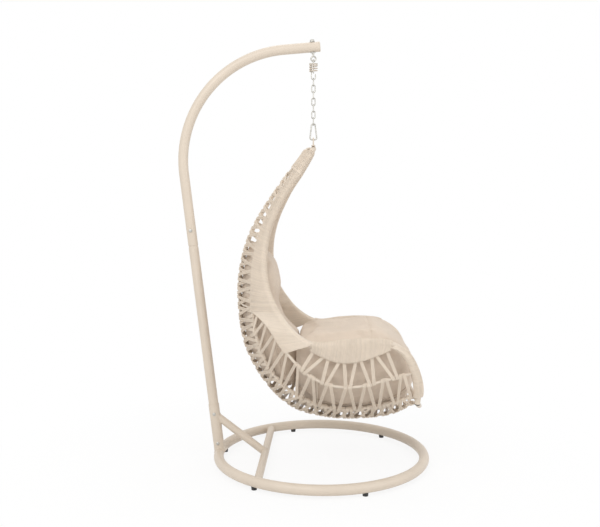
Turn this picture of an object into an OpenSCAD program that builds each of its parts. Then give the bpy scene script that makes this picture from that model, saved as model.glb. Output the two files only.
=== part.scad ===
/* [Base ring] */
// Centreline radius of the floor ring
ring_r = 476; // [420:1:520]
// Outside diameter of the ring and pole tube
tube_d = 45; // [40:0.5:50]
// Wall of the ring and pole tube
tube_wall = 1.8; // [1.4:0.1:2.6]
// Distance of the cross bar behind the centre of the ring
bar_back = 262; // [200:1:320]
// Outside diameter of the cross bar and the brace
bar_d = 35; // [28:1:38]
// Wall of the cross bar and the brace
bar_wall = 1.5; // [1.2:0.1:2.4]
// Height of a glide foot below the tube
glide_h = 11.5; // [8:0.5:18]
// Diameter of a glide foot
glide_d = 26; // [20:1:34]
// Number of glide feet
glide_count = 6; // [5:1:6]
// Angle of the first glide foot, degrees from straight ahead
glide_first = -125.5; // [-130:0.5:-120]
// Angle from one glide foot to the next
glide_step = 58.5; // [56:0.5:60]

/* [Pole] */
// Lean of the pole back from upright, degrees
lean = 6.8; // [5:0.1:9]
// Straight length from the ring centreline to the bend
pole_straight = 1306; // [1200:1:1400]
// Centreline radius of the bend over the seat
bend_r = 500; // [460:1:530]
// Rise of the arm past the bend, degrees
arm_rise = 4.4; // [2:0.1:7]
// Straight length of the arm past the bend
arm_len = 160; // [140:1:200]
// Length of the welded socket along the pole
socket_len = 230; // [215:1:260]
// Outside diameter of the socket
socket_d = 49; // [48.8:0.1:52]
// Where the brace meets the pole, along the pole
brace_at = 180; // [160:1:195]
// Where the two lengths of the pole meet
joint_at = 977; // [900:1:1040]
// Length of the swaged spigot inside the upper length
spigot_len = 120; // [100:1:150]
// Clearance between tubes that slide into each other
fit_gap = 0.3; // [0.2:0.05:0.5]
// Diameter of the cross bolts
bolt_d = 8; // [6:0.5:10]
// Place of the lower cross bolt along the pole, through the socket
lower_bolt_at = 46; // [42:1:60]
// Place of the middle cross bolt along the pole, through the socket
middle_bolt_at = 186; // [170:1:200]
// Place of the upper cross bolt along the pole, through the spigot
upper_bolt_at = 1046; // [1030:1:1060]
// Length of the round plug in the arm's end cap
cap_plug_len = 18; // [12:1:24]
// Thickness of the end cap outside the tube
cap_t = 6; // [4:0.5:8]

/* [Hanging fittings] */
// Distance from the arm's tube end back to the eye bolt
eye_setback = 29; // [26:0.5:40]
// Distance from the arm's centreline down to the eye centre
eye_drop = 51.5; // [46:0.5:60]
// Diameter of the eye bolt's shank
eye_rod_d = 10; // [8:0.5:12]
// Diameter of the eye's wire
eye_wire_d = 7; // [6:0.5:8]
// Diameter of the hole in the eye
eye_hole_d = 14; // [12:0.5:18]
// Wire diameter of the two spring pulls
pull_wire_d = 5; // [4:0.5:6]
// Spread of a pull's legs, centre to centre
pull_w = 18; // [17:0.5:19]
// Gap from the eye down to the top of the spring's cross bar
spring_drop = 4.5; // [3.5:0.5:10]
// Outside diameter of the coil spring
spring_d = 39; // [37:0.5:44]
// Wire diameter of the coil spring
spring_wire_d = 5; // [4:0.5:6]
// Length of the coil at rest
spring_len = 34; // [32:1:46]
// Distance from the coil down to the hook's seat
hook_drop = 32; // [28:1:50]
// Wire diameter of a chain link
link_wire_d = 5; // [4:0.5:5.5]
// Length of the opening in a link
link_in_len = 29.5; // [27:0.5:36]
// Width of the opening in a link
link_in_w = 10; // [9:0.5:12]
// Wire diameter of the carabiner
clip_wire_d = 7; // [6:0.5:8]
// Outside height of the carabiner
clip_h = 78; // [72:1:90]
// Outside width of the carabiner at its wide end
clip_w = 37; // [34:1:42]
// Centreline radius of the carabiner's bends
clip_bend_r = 8.5; // [8:0.25:9.5]
// Play between two hanging fittings
hang_gap = 0.3; // [0.2:0.05:0.5]

/* [Basket frame] */
// Outside diameter of the rim tube
rim_d = 25; // [22:0.5:28]
// Wall of the rim tube
rim_wall = 1.5; // [1.2:0.1:2.5]
// Diameter of the side, spine and hoop rods
rod_d = 12; // [10:0.5:14]
// Diameter of the cross ribs
rib_d = 8; // [6:0.5:10]
// Diameter of the front rail
rail_d = 20; // [16:0.5:22]
// Height from the eye of the basket down to the rim tube
eye_h = 30; // [26:1:40]
// Wire diameter of the basket's eye
loop_wire_d = 6; // [5:0.5:7]
// Half width of the basket across the arms
arm_half_w = 344; // [320:1:380]
// Drop from the top of the basket to the arms
arm_drop = 830; // [790:1:870]
// Drop from the top of the basket to the spine's lowest point
base_drop = 1235; // [1200:1:1255]
// Reach of the basket's back behind the hanging axis
back_reach = 341; // [310:1:350]
// Reach of the front posts ahead of the hanging axis
front_reach = 455; // [420:1:465]
// Clearance at a welded or lashed contact
weld_gap = 0.2; // [0.1:0.05:0.4]

/* [Rope] */
// Thickness of the rope wrap round the rim
wrap_t = 6; // [4:0.5:7]
// Thickness of the double layer of rope round a front post
post_wrap_t = 10; // [8:0.5:11]
// Width of the flat lacing rope
rope_w = 13; // [9:0.5:16]
// Thickness of the flat lacing rope
rope_t = 5; // [3:0.5:6]
// Distance between lacing turns along a rod
lace_pitch = 84; // [70:1:110]

/* [Cushions] */
// Wall of the quilted cushion covers
cover_t = 8; // [6:0.5:12]
// Clearance between a cushion and the rods round it
cushion_gap = 24; // [22:1:34]
// Length of the seat cushion
seat_len = 500; // [460:1:510]
// Drop from the top of the basket to the seat cushion's crown
seat_top = 792; // [780:1:810]
// Height of the back cushion, from its foot behind the seat cushion
back_h = 610; // [560:1:620]
// Height of the back cushion's foot above the spine's lowest point
back_foot = 195; // [190:1:230]
// Thickness of the back cushion at its middle
back_t = 165; // [140:1:175]
// Length of the zip opening in a cover
zip_len = 200; // [120:5:240]
// Height of the zip opening
zip_gap = 1; // [0.5:0.1:2]

/* [Hidden] */
$fn = 48;

beige = [0.80, 0.74, 0.64];
rope_beige = [0.76, 0.68, 0.57];
cloth_beige = [0.80, 0.73, 0.64];
steel = [0.74, 0.73, 0.70];
black = [0.08, 0.08, 0.08];

LEFT = 1;
RIGHT = -1;

// --- Stand: sizes that follow from the driving dimensions ---
tube_r = tube_d / 2;
ring_z = glide_h + tube_r;
lean_dir = [-sin(lean), 0, cos(lean)];
bend_start = [-ring_r, 0, ring_z] + pole_straight * lean_dir;
bend_centre = bend_start + bend_r * [cos(lean), 0, sin(lean)];
bend_turn = 90 + lean - arm_rise;
arm_dir = [cos(arm_rise), 0, sin(arm_rise)];
arm_down = [sin(arm_rise), 0, -cos(arm_rise)];
arm_start = bend_centre - bend_r * arm_down;
arm_end = arm_start + arm_len * arm_dir;
// The frame's origin lies under the middle of the whole chair's length
ring_x = (bend_r - bend_centre[0] + tube_r - (ring_r + tube_r)) / 2;
to_part = [ring_x, 0, 0];

eye_top = arm_end - eye_setback * arm_dir;
eye_centre = eye_top + eye_drop * arm_down + to_part;
eye_ring_r = (eye_hole_d + eye_wire_d) / 2;
hang_x = eye_centre[0];

// --- Hanging fittings, from the eye downwards ---
link_count = 7;
pull_r = pull_wire_d / 2;
top_pull_z = eye_centre[2] - eye_hole_d / 2 + hang_gap + pull_r;
cross_bar_z = eye_centre[2] - eye_hole_d / 2 - eye_wire_d - spring_drop - pull_r;
coil_top = cross_bar_z - pull_r;
coil_low = coil_top - spring_len;
foot_z = coil_low - pull_r;
foot_reach = spring_d / 2 - 1;
hook_bend_r = pull_w / 2;
hook_seat = coil_low - hook_drop;
link_top_1 = hook_seat + hang_gap;
link_step = link_in_len - hang_gap;
clip_seat = link_top_1 - link_count * link_step;
clip_top_z = clip_seat - (clip_bend_r - clip_wire_d / 2);
clip_span = clip_h - clip_wire_d - 2 * clip_bend_r;
clip_low_z = clip_top_z - clip_span;
clip_low_x = (clip_w - clip_wire_d) / 2 - clip_bend_r;
clip_slope = atan(clip_low_x / clip_span);
clip_wire_z = clip_low_z - clip_bend_r;
loop_under = clip_wire_z + clip_wire_d / 2 + hang_gap;
plate_t = 3;
rim_r = rim_d / 2;
rod_r = rod_d / 2;
rib_r = rib_d / 2;
rail_r = rail_d / 2;
// Centre of the rim tube at the top of the basket, where the basket's own points start
apex = [hang_x, 0, loop_under - eye_h - plate_t - weld_gap - rim_r];

// --- Vectors and paths ---
function unit(v) = v / norm(v);
function mirror_y(p) = [p[0], -p[1], p[2]];
function side_of(path, side) = side > 0 ? path : [for (p = path) mirror_y(p)];
function reversed(path) = [for (i = [len(path) - 1 : -1 : 0]) path[i]];

// Centripetal spline from b to c, with a and d as neighbours
function knot(from, to) = sqrt(norm(to - from));
function blend(a, b, ta, tb, t) = ((tb - t) * a + (t - ta) * b) / (tb - ta);
function spline_at(a, b, c, d, u) =
    let (t1 = knot(a, b), t2 = t1 + knot(b, c), t3 = t2 + knot(c, d), t = t1 + u * (t2 - t1))
    let (ab = blend(a, b, 0, t1, t), bc = blend(b, c, t1, t2, t), cd = blend(c, d, t2, t3, t))
    let (abc = blend(ab, bc, 0, t2, t), bcd = blend(bc, cd, t1, t3, t))
    blend(abc, bcd, t1, t2, t);

// Smooth path through the points, with so many steps between two of them
function smooth(points, steps) =
    let (last = len(points) - 1)
    let (before = 2 * points[0] - points[1], after = 2 * points[last] - points[last - 1])
    let (all = concat([before], points, [after]))
    concat(
        [for (k = [0 : last - 1], j = [0 : steps - 1])
            spline_at(all[k], all[k + 1], all[k + 2], all[k + 3], j / steps)],
        [points[last]]
    );

// Length along a path at each of its points
function lengths(path) = [
    for (i = 0, s = 0; i < len(path);
        s = s + (i + 1 < len(path) ? norm(path[i + 1] - path[i]) : 0), i = i + 1) s
];

// Point at a length along a path
function walk(path, marks, s) =
    let (k = max(0, min(len(path) - 2, len([for (m = marks) if (m <= s) 1]) - 1)))
    path[k] + (s - marks[k]) / (marks[k + 1] - marks[k]) * (path[k + 1] - path[k]);

// So many points spread evenly between two lengths along a path
function spread(path, from, to, count) =
    let (marks = lengths(path))
    [for (i = [0 : count - 1]) walk(path, marks, from + (to - from) * i / (count - 1))];

function path_length(path) = lengths(path)[len(path) - 1];

// Length along a path where it first drops to a height
function length_at_z(path, z) =
    let (marks = lengths(path), k = len([for (i = 0; path[i][2] > z; i = i + 1) i]) - 1)
    marks[k] + (path[k][2] - z) / (path[k][2] - path[k + 1][2]) * (marks[k + 1] - marks[k]);

// Length along a path where it last comes forward to an x
function length_at_x(path, x) =
    let (marks = lengths(path), k = max([for (i = [0 : len(path) - 2]) if (path[i][0] <= x) i]))
    marks[k] + (x - path[k][0]) / (path[k + 1][0] - path[k][0]) * (marks[k + 1] - marks[k]);

function point_at_z(path, z) = walk(path, lengths(path), length_at_z(path, z));
function point_at_x(path, x) = walk(path, lengths(path), length_at_x(path, x));

// --- Basket: points of the left half, measured from the apex ---
hairpin_r = 24;
rim_points = [
    [0, 0, 0],
    [-7, 19, -12],
    [-22, hairpin_r + 9, -40],
    [-62, 62, -105],
    [-122, 100, -195],
    [-188, 146, -340],
    [-211, 184, -475],
    [-196, arm_half_w - 110, -612],
    [-140, arm_half_w - 52, 108 - arm_drop],
    [-65, arm_half_w - 14, 28 - arm_drop],
    [15, arm_half_w, -arm_drop - 12],
    [125, arm_half_w + 2, -arm_drop - 2],
    [235, arm_half_w - 3, -arm_drop + 4],
    [330, arm_half_w - 14, -arm_drop - 6],
    [front_reach - 62, arm_half_w - 28, -arm_drop - 46],
    [front_reach - 18, arm_half_w - 46, -arm_drop - 128],
    [front_reach, arm_half_w - 60, -arm_drop - 205],
    [front_reach - 4, arm_half_w - 74, -arm_drop - 272]
];
RIM_STEPS = 2;
left_rim = smooth(rim_points, RIM_STEPS);
rim_marks = lengths(left_rim);
rim_length = path_length(left_rim);
whole_rim = concat(
    reversed([for (i = [1 : len(left_rim) - 1]) mirror_y(left_rim[i])]),
    left_rim
);
rim_foot = left_rim[len(left_rim) - 1];

// Direction of a path at a length along it
function heading(path, marks, s) = unit(walk(path, marks, s + 2) - walk(path, marks, s - 2));

// Rods start and end against another rod, on the side that the direction points to
function squared(dir, along) = unit(dir - (dir * along) * along);
function off_rod(path, s, dir, by) =
    let (marks = lengths(path))
    walk(path, marks, s) + squared(dir, heading(path, marks, s)) * (by + weld_gap);
function beside(path, s, dir, near_r, own_r) = off_rod(path, s, dir, near_r + own_r);
// First two points of a rod that leaves another one squarely
function stub(path, s, dir, near_r, long) =
    [off_rod(path, s, dir, near_r), off_rod(path, s, dir, near_r + long)];

side_start = beside(left_rim, length_at_z(left_rim, -92), [-0.86, -0.2, 0.46], rim_r + 1, rod_r);
side_end = stub(left_rim, rim_length - 26, [-1, -0.42, 0], rim_r, 10);
side_points = [
    side_start,
    [-182, 106, -268],
    [96 - back_reach, 152, -440],
    [79 - back_reach, arm_half_w - 152, -620],
    [94 - back_reach, arm_half_w - 142, -820],
    [163 - back_reach, arm_half_w - 142, 250 - base_drop],
    [-60, arm_half_w - 144, 143 - base_drop],
    [95, arm_half_w - 146, 89 - base_drop],
    [240, arm_half_w - 142, 95 - base_drop],
    [front_reach - 105, arm_half_w - 122, 123 - base_drop],
    side_end[1],
    side_end[0]
];
left_side = smooth(side_points, 3);
side_length = path_length(left_side);

rail_start = stub(left_rim, rim_length - 14, [0.1, -1, 0], rim_r + 0.5, 14);
rail_points = [
    rail_start[0],
    rail_start[1],
    [front_reach + 6, arm_half_w - 150, -arm_drop - 292],
    [front_reach + 26, arm_half_w - 244, -arm_drop - 326],
    [front_reach + 31, 0, -arm_drop - 338]
];
rail_half = smooth(rail_points, 3);
rail_path = concat(rail_half, reversed([for (i = [0 : len(rail_half) - 2]) mirror_y(rail_half[i])]));

spine_end = rail_points[len(rail_points) - 1] - [rail_r + weld_gap, 0, 0];
spine_points = [
    left_rim[0] - [rim_r + weld_gap, 0, 0],
    [-25, 0, 0],
    [-64, 0, -50],
    [-142, 0, -152],
    [60 - back_reach, 0, -372],
    [-back_reach + 8, 0, -550],
    [-back_reach + 2, 0, -720],
    [35 - back_reach, 0, 327 - base_drop],
    [130 - back_reach, 0, 157 - base_drop],
    [-90, 0, 48 - base_drop],
    [60, 0, 6 - base_drop],
    [200, 0, -base_drop],
    [360, 0, 20 - base_drop],
    spine_end - [12, 0, 0],
    spine_end
];
spine = smooth(spine_points, 3);

rib_z = 124 - arm_drop;
rib_play = rib_r + 3;
hoop_start = stub(left_side, length_at_z(left_side, rib_z - 16), [0.7, 0.7, 0], rod_r, 6);
hoop_end = stub(left_rim, rim_length - 150, [-1, 0.28, 0], rim_r, 10);
hoop_points = [
    hoop_start[0],
    hoop_start[1],
    [-183, arm_half_w - 52, 60 - arm_drop],
    [-138, arm_half_w - 28, -arm_drop - 2],
    [-88, arm_half_w - 14, -arm_drop - 66],
    [-15, arm_half_w - 8, -arm_drop - 138],
    [85, arm_half_w - 8, -arm_drop - 182],
    [195, arm_half_w - 8, -arm_drop - 186],
    [front_reach - 155, arm_half_w - 14, -arm_drop - 162],
    hoop_end[1],
    hoop_end[0]
];
left_hoop_path = smooth(hoop_points, 2);

arm_from = length_at_x(left_rim, 2);
arm_to = length_at_x([for (i = [0 : len(left_rim) - 8]) left_rim[i]], 335);
arm_rail_start = beside(left_rim, arm_from, [0, 0, -1], rim_r, rod_r);
arm_rail_end = beside(left_rim, arm_to, [0, 0, -1], rim_r, rod_r);
arm_rail_points = [
    arm_rail_start,
    [70, arm_half_w + 3, -arm_drop - 62],
    [140, arm_half_w + 4, -arm_drop - 76],
    [215, arm_half_w, -arm_drop - 66],
    [285, arm_half_w - 8, -arm_drop - 42],
    arm_rail_end
];
left_arm_rail_path = smooth(arm_rail_points, 2);

// Lengths along the rim where one wrap ends and the next starts
back_wrap_from = length_at_z(left_rim, -106);
back_wrap_to = length_at_z(left_rim, rib_z + rib_play);
shoulder_from = length_at_z(left_rim, rib_z - rib_play);
shoulder_to = arm_from - 12;
post_from = arm_to + 10;
post_to = rim_length - 34;
shoulder_hoop_x = -110;
shoulder_low_z = point_at_x(left_hoop_path, shoulder_hoop_x)[2];

// Point against the inner side of a rod, where a rib crosses it
function inside_at(path, s, middle) =
    let (p = walk(path, lengths(path), s)) beside(path, s, middle - p, rod_r, rib_r);

// --- Solids along paths ---
function frames(path) =
    let (last = len(path) - 1)
    let (dirs = [for (i = [0 : last]) unit(path[min(i + 1, last)] - path[max(i - 1, 0)])])
    let (first = cross(dirs[0], abs(dirs[0][1]) < 0.9 ? [0, 1, 0] : [1, 0, 0]))
    [for (i = 0, n = unit(first); i <= last;
        i = i + 1, n = i > last ? n : unit(n - (n * dirs[i]) * dirs[i])) [n, cross(dirs[i], n)]];

function ring_round(p, axes, r, sides) = [
    for (k = [0 : sides - 1]) p + r * (cos(360 * k / sides) * axes[0] + sin(360 * k / sides) * axes[1])
];

// Faces between the rings of a skin, each ring with so many points
function skin_faces(rings, sides, from = 0, inward = false) = [
    for (i = [0 : rings - 2], k = [0 : sides - 1])
        let (a = from + i * sides + k, b = from + i * sides + (k + 1) % sides)
        each inward
            ? [[a, b + sides, b], [a, a + sides, b + sides]]
            : [[a, b, b + sides], [a, b + sides, a + sides]]
];

// Solid through a list of rings
module skin(rings) {
    sides = len(rings[0]);
    count = len(rings);
    points = [for (r = rings) each r];
    start_cap = [for (k = [sides - 1 : -1 : 0]) k];
    end_cap = [for (k = [0 : sides - 1]) (count - 1) * sides + k];
    polyhedron(points, concat(skin_faces(count, sides), [start_cap, end_cap]), convexity = 10);
}

// Tube-like solid between outer and inner rings, open at both ends
module hollow_skin(outer, inner) {
    sides = len(outer[0]);
    count = len(outer);
    shift = count * sides;
    points = concat([for (r = outer) each r], [for (r = inner) each r]);
    last = (count - 1) * sides;
    start_rim = [for (k = [0 : sides - 1]) let (j = (k + 1) % sides) [k, shift + k, shift + j, j]];
    end_rim = [for (k = [0 : sides - 1]) let (j = (k + 1) % sides)
        [last + k, last + j, shift + last + j, shift + last + k]];
    faces = concat(
        skin_faces(count, sides),
        skin_faces(count, sides, shift, true),
        start_rim,
        end_rim
    );
    polyhedron(points, faces, convexity = 10);
}

module rod(path, r, sides = 8) {
    axes = frames(path);
    skin([for (i = [0 : len(path) - 1]) ring_round(path[i], axes[i], r, sides)]);
}

module tube(path, r, wall, sides = 8) {
    axes = frames(path);
    hollow_skin(
        [for (i = [0 : len(path) - 1]) ring_round(path[i], axes[i], r, sides)],
        [for (i = [0 : len(path) - 1]) ring_round(path[i], axes[i], r - wall, sides)]
    );
}

// Loop round two rods at a and b: half a circle at each, joined by straight sides
WRAP_STEPS = 4;
function loop_round(a, b, dir, ra, rb) =
    let (u = unit(b - a), n = unit(cross(dir, u)))
    concat(
        [for (k = [0 : WRAP_STEPS]) let (t = -90 + 180 * k / WRAP_STEPS)
            a + ra * (-cos(t) * u + sin(t) * n)],
        [for (k = [0 : WRAP_STEPS]) let (t = -90 + 180 * k / WRAP_STEPS)
            b + rb * (cos(t) * u - sin(t) * n)]
    );

// Sleeve of close-wound rope round two rods
module double_wrap(path_a, path_b, ra, rb) {
    last = len(path_a) - 1;
    dirs = [for (i = [0 : last]) unit(path_a[min(i + 1, last)] - path_a[max(i - 1, 0)])];
    hollow_skin(
        [for (i = [0 : last]) loop_round(path_a[i], path_b[i], dirs[i], ra + wrap_t, rb + wrap_t)],
        [for (i = [0 : last]) loop_round(path_a[i], path_b[i], dirs[i], ra + weld_gap, rb + weld_gap)]
    );
}

// Sleeve of close-wound rope round one rod
module single_wrap(path, r, thick) {
    tube(path, r + thick, thick - weld_gap, 10);
}

// One flat rope from rod to rod, cut along each rod's surface
module strand(pa, ta, ra, pb, tb, rb) {
    d = pb - pa;
    flat_a = d - (d * ta) * ta;
    flat_b = d - (d * tb) * tb;
    ea = pa + d * (ra + 2 * weld_gap) / norm(flat_a);
    eb = pb - d * (rb + 2 * weld_gap) / norm(flat_b);
    wa = ta * (rope_w / 2) * norm(d) / norm(flat_a);
    wb = tb * (rope_w / 2) * norm(d) / norm(flat_b);
    n = unit(cross(d, ta + tb)) * rope_t / 2;
    skin([
        [ea - wa - n, ea + wa - n, ea + wa + n, ea - wa + n],
        [eb - wb - n, eb + wb - n, eb + wb + n, eb - wb + n]
    ]);
}

// Zigzag of separate ropes between two paths, each turn one rope width along the rod.
// Path a is wrapped with rope above bare_z
module lacing(path_a, path_b, bare_z, slack = 9) {
    marks_a = lengths(path_a);
    marks_b = lengths(path_b);
    long_a = path_length(path_a);
    long_b = path_length(path_b);
    count = max(2, round((long_a + long_b) / lace_pitch));
    for (k = [0 : count - 1]) {
        sa = long_a * (k % 2 == 0 ? k : k + 1) / count + (k % 2 == 0 ? slack : -slack);
        sb = long_b * (k % 2 == 0 ? k + 1 : k) / count + (k % 2 == 0 ? -slack : slack);
        pa = walk(path_a, marks_a, sa);
        pb = walk(path_b, marks_b, sb);
        ra = pa[2] > bare_z ? rod_r + wrap_t : rod_r;
        strand(pa, heading(path_a, marks_a, sa), ra, pb, heading(path_b, marks_b, sb), rod_r);
    }
}

// Straight bar between two points
module bar_between(a, b, r) {
    d = b - a;
    translate(a)
        rotate([0, acos(d[2] / norm(d)), atan2(d[1], d[0])])
            cylinder(r = r, h = norm(d));
}

// Puts an object along the leaning pole, its z axis up the pole from the ring's centreline
module on_pole(at = 0) {
    translate(to_part + [-ring_r, 0, ring_z] + at * lean_dir)
        rotate([0, -lean, 0])
            children();
}

// Puts an object at the eye bolt's place, its z axis square to the arm
module on_arm() {
    translate(to_part + eye_top)
        rotate([0, -arm_rise, 0])
            children();
}

// --- Stand ---
module ring_solid(r) {
    translate(to_part + [0, 0, ring_z])
        rotate_extrude($fn = 96)
            translate([ring_r, 0])
                circle(r = r);
}

module base_ring() {
    color(beige)
        difference() {
            ring_solid(tube_r);
            ring_solid(tube_r - tube_wall);
        }
}

module cross_bar() {
    half = sqrt(ring_r * ring_r - bar_back * bar_back);
    color(beige)
        difference() {
            translate(to_part + [-bar_back, half, ring_z])
                rotate([90, 0, 0])
                    difference() {
                        cylinder(d = bar_d, h = 2 * half);
                        translate([0, 0, -1])
                            cylinder(d = bar_d - 2 * bar_wall, h = 2 * half + 2);
                    }
            ring_solid(tube_r + weld_gap);
        }
}

module brace() {
    foot = to_part + [-bar_back, 0, ring_z];
    head = to_part + [-ring_r, 0, ring_z] + brace_at * lean_dir;
    color(beige)
        difference() {
            bar_between(foot, head, bar_d / 2);
            bar_between(foot, head, bar_d / 2 - bar_wall);
            on_pole(-tube_r)
                cylinder(d = socket_d + 2 * weld_gap, h = socket_len + 2 * tube_r);
            translate(to_part + [-bar_back, bar_d * 2, ring_z])
                rotate([90, 0, 0])
                    cylinder(d = bar_d + 2 * weld_gap, h = bar_d * 4);
        }
}

module cross_hole(at, d) {
    on_pole(at)
        rotate([90, 0, 0])
            translate([0, 0, -socket_d])
                cylinder(d = d, h = 2 * socket_d);
}

module pole_socket() {
    color(beige)
        difference() {
            on_pole()
                cylinder(d = socket_d, h = socket_len);
            on_pole(-1)
                cylinder(d = tube_d + 2 * fit_gap, h = socket_len + 2);
            ring_solid(tube_r + weld_gap);
            cross_hole(lower_bolt_at, bolt_d + 2 * fit_gap);
            cross_hole(middle_bolt_at, bolt_d + 2 * fit_gap);
        }
}

module lower_pole() {
    foot = tube_r + 6;
    spigot_d = tube_d - 2 * tube_wall - 2 * fit_gap;
    shoulder = 12;
    color(beige)
        difference() {
            union() {
                on_pole(foot)
                    cylinder(d = tube_d, h = joint_at - foot - shoulder);
                on_pole(joint_at - shoulder)
                    cylinder(d1 = tube_d, d2 = spigot_d, h = shoulder - 1);
                on_pole(joint_at - shoulder - 1)
                    cylinder(d = spigot_d, h = shoulder + 1 + spigot_len);
            }
            on_pole(foot - 1)
                cylinder(d = spigot_d - 2 * tube_wall, h = joint_at + spigot_len + 2);
            cross_hole(lower_bolt_at, bolt_d + 2 * fit_gap);
            cross_hole(middle_bolt_at, bolt_d + 2 * fit_gap);
            cross_hole(upper_bolt_at, bolt_d + 2 * fit_gap);
        }
}

module pipe(h) {
    difference() {
        cylinder(r = tube_r, h = h);
        translate([0, 0, -1])
            cylinder(r = tube_r - tube_wall, h = h + 2);
    }
}

// Dressed weld between two lengths of pipe, a hair thicker than their wall
module pipe_seam(bead = 0.1, half = 2) {
    translate([0, 0, -half])
        difference() {
            cylinder(r = tube_r + bead, h = 2 * half);
            translate([0, 0, -1])
                cylinder(r = tube_r - tube_wall - bead, h = 2 * half + 2);
        }
}

module bent_pipe(turn) {
    rotate_extrude(angle = turn, $fn = 96)
        translate([bend_r, 0])
            difference() {
                circle(r = tube_r);
                circle(r = tube_r - tube_wall);
            }
}

module upper_pole() {
    color(beige)
        difference() {
            union() {
                on_pole(joint_at)
                    pipe(pole_straight - joint_at);
                on_pole(pole_straight)
                    pipe_seam();
                translate(to_part + bend_centre)
                    rotate([90, 0, 0])
                        rotate([0, 0, 90 + arm_rise])
                            bent_pipe(bend_turn);
                translate(to_part + arm_start)
                    rotate([0, 90 - arm_rise, 0]) {
                        pipe(arm_len);
                        pipe_seam();
                    }
            }
            cross_hole(upper_bolt_at, bolt_d + 2 * fit_gap);
            on_arm()
                translate([0, 0, -tube_d])
                    cylinder(d = eye_rod_d + 2 * fit_gap, h = 2 * tube_d);
        }
}

module arm_cap() {
    edge = cap_t - 1;
    color(beige)
        translate(to_part + arm_end + weld_gap * arm_dir)
            rotate([0, 90 - arm_rise, 0])
                rotate_extrude()
                    polygon(concat(
                        [[0, -cap_plug_len], [tube_r - tube_wall - fit_gap, -cap_plug_len],
                            [tube_r - tube_wall - fit_gap, 0], [tube_r, 0]],
                        [for (a = [0 : 15 : 90])
                            [tube_r - edge + edge * cos(a), cap_t - edge + edge * sin(a)]],
                        [[0, cap_t]]
                    ));
}

module at_bolts() {
    on_pole(lower_bolt_at)
        children();
    on_pole(middle_bolt_at)
        children();
}

bolt_head_t = 4;
nut_t = bolt_d * 0.8;
nut_af = bolt_d * 1.6;

// Dome-headed bolt through a pole of the given outside diameter, head towards -Y
module cross_bolt(outer_d) {
    seat = outer_d / 2 + weld_gap;
    translate([0, nut_t + seat + 2, 0])
        rotate([90, 0, 0])
            cylinder(d = bolt_d, h = nut_t + 2 + 2 * seat + 1);
    translate([0, -seat, 0])
        rotate([90, 0, 0])
            rotate_extrude()
                polygon(concat(
                    [[0, 0], [bolt_d, 0], [bolt_d, 1]],
                    [for (a = [15 : 15 : 75]) [bolt_d * cos(a), 1 + (bolt_head_t - 1) * sin(a)]],
                    [[0, bolt_head_t]]
                ));
}

module cross_nut(outer_d) {
    translate([0, outer_d / 2 + weld_gap, 0])
        rotate([-90, 0, 0])
            difference() {
                cylinder(d = nut_af / cos(30), h = nut_t, $fn = 6);
                translate([0, 0, -1])
                    cylinder(d = bolt_d + 0.2, h = nut_t + 2);
            }
}

module joint_bolts() {
    color(steel) {
        at_bolts()
            cross_bolt(socket_d);
        on_pole(upper_bolt_at)
            cross_bolt(tube_d);
    }
}

module joint_nuts() {
    color(steel) {
        at_bolts()
            cross_nut(socket_d);
        on_pole(upper_bolt_at)
            cross_nut(tube_d);
    }
}

module glides() {
    saddle = 5;
    color(black)
        for (i = [0 : glide_count - 1]) {
            turn = glide_first + i * glide_step;
            difference() {
                translate(to_part + ring_r * [cos(turn), sin(turn), 0])
                    cylinder(d1 = glide_d - 3, d2 = glide_d, h = glide_h + saddle);
                ring_solid(tube_r + weld_gap);
            }
        }
}

// --- Hanging fittings ---
module bent_wire(bend_r, wire_d, from, turn) {
    rotate([0, 0, from])
        rotate_extrude(angle = turn)
            translate([bend_r, 0])
                circle(d = wire_d);
}

washer_t = 2;
washer_d = 24;
eye_nut_t = 8;
eye_nut_af = 17;
arm_out = tube_r + weld_gap;

module eye_bolt() {
    above = arm_out + washer_t + eye_nut_t + weld_gap + 2;
    below = eye_drop - eye_ring_r;
    color(steel) {
        on_arm()
            translate([0, 0, -below])
                cylinder(d = eye_rod_d, h = below + above);
        translate(eye_centre)
            rotate([90, 0, 0])
                rotate_extrude()
                    translate([eye_ring_r, 0])
                        circle(d = eye_wire_d);
    }
}

module eye_nut() {
    color(steel)
        on_arm()
            translate([0, 0, arm_out + washer_t + weld_gap])
                difference() {
                    cylinder(d = eye_nut_af / cos(30), h = eye_nut_t, $fn = 6);
                    translate([0, 0, -1])
                        cylinder(d = eye_rod_d + 0.2, h = eye_nut_t + 2);
                }
}

module eye_washers() {
    color(steel)
        for (s = [arm_out, -arm_out - washer_t])
            on_arm()
                translate([0, 0, s])
                    difference() {
                        cylinder(d = washer_d, h = washer_t);
                        translate([0, 0, -1])
                            cylinder(d = eye_rod_d + 2 * fit_gap, h = washer_t + 2);
                    }
}

// Long U of wire over the eye, its feet turned out under the coil
module spring_top_pull() {
    leg = pull_w / 2;
    bend_z = top_pull_z - leg;
    color(steel)
        translate([hang_x, 0, 0]) {
            translate([0, 0, bend_z])
                rotate([90, 0, 90])
                    bent_wire(leg, pull_wire_d, 0, 180);
            for (s = [-1, 1]) {
                translate([0, s * leg, foot_z])
                    cylinder(d = pull_wire_d, h = bend_z - foot_z);
                translate([0, s * leg, foot_z])
                    sphere(d = pull_wire_d);
                translate([0, s * leg, foot_z])
                    rotate([-s * 90, 0, 0])
                        cylinder(d = pull_wire_d, h = foot_reach - leg);
            }
        }
}

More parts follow.
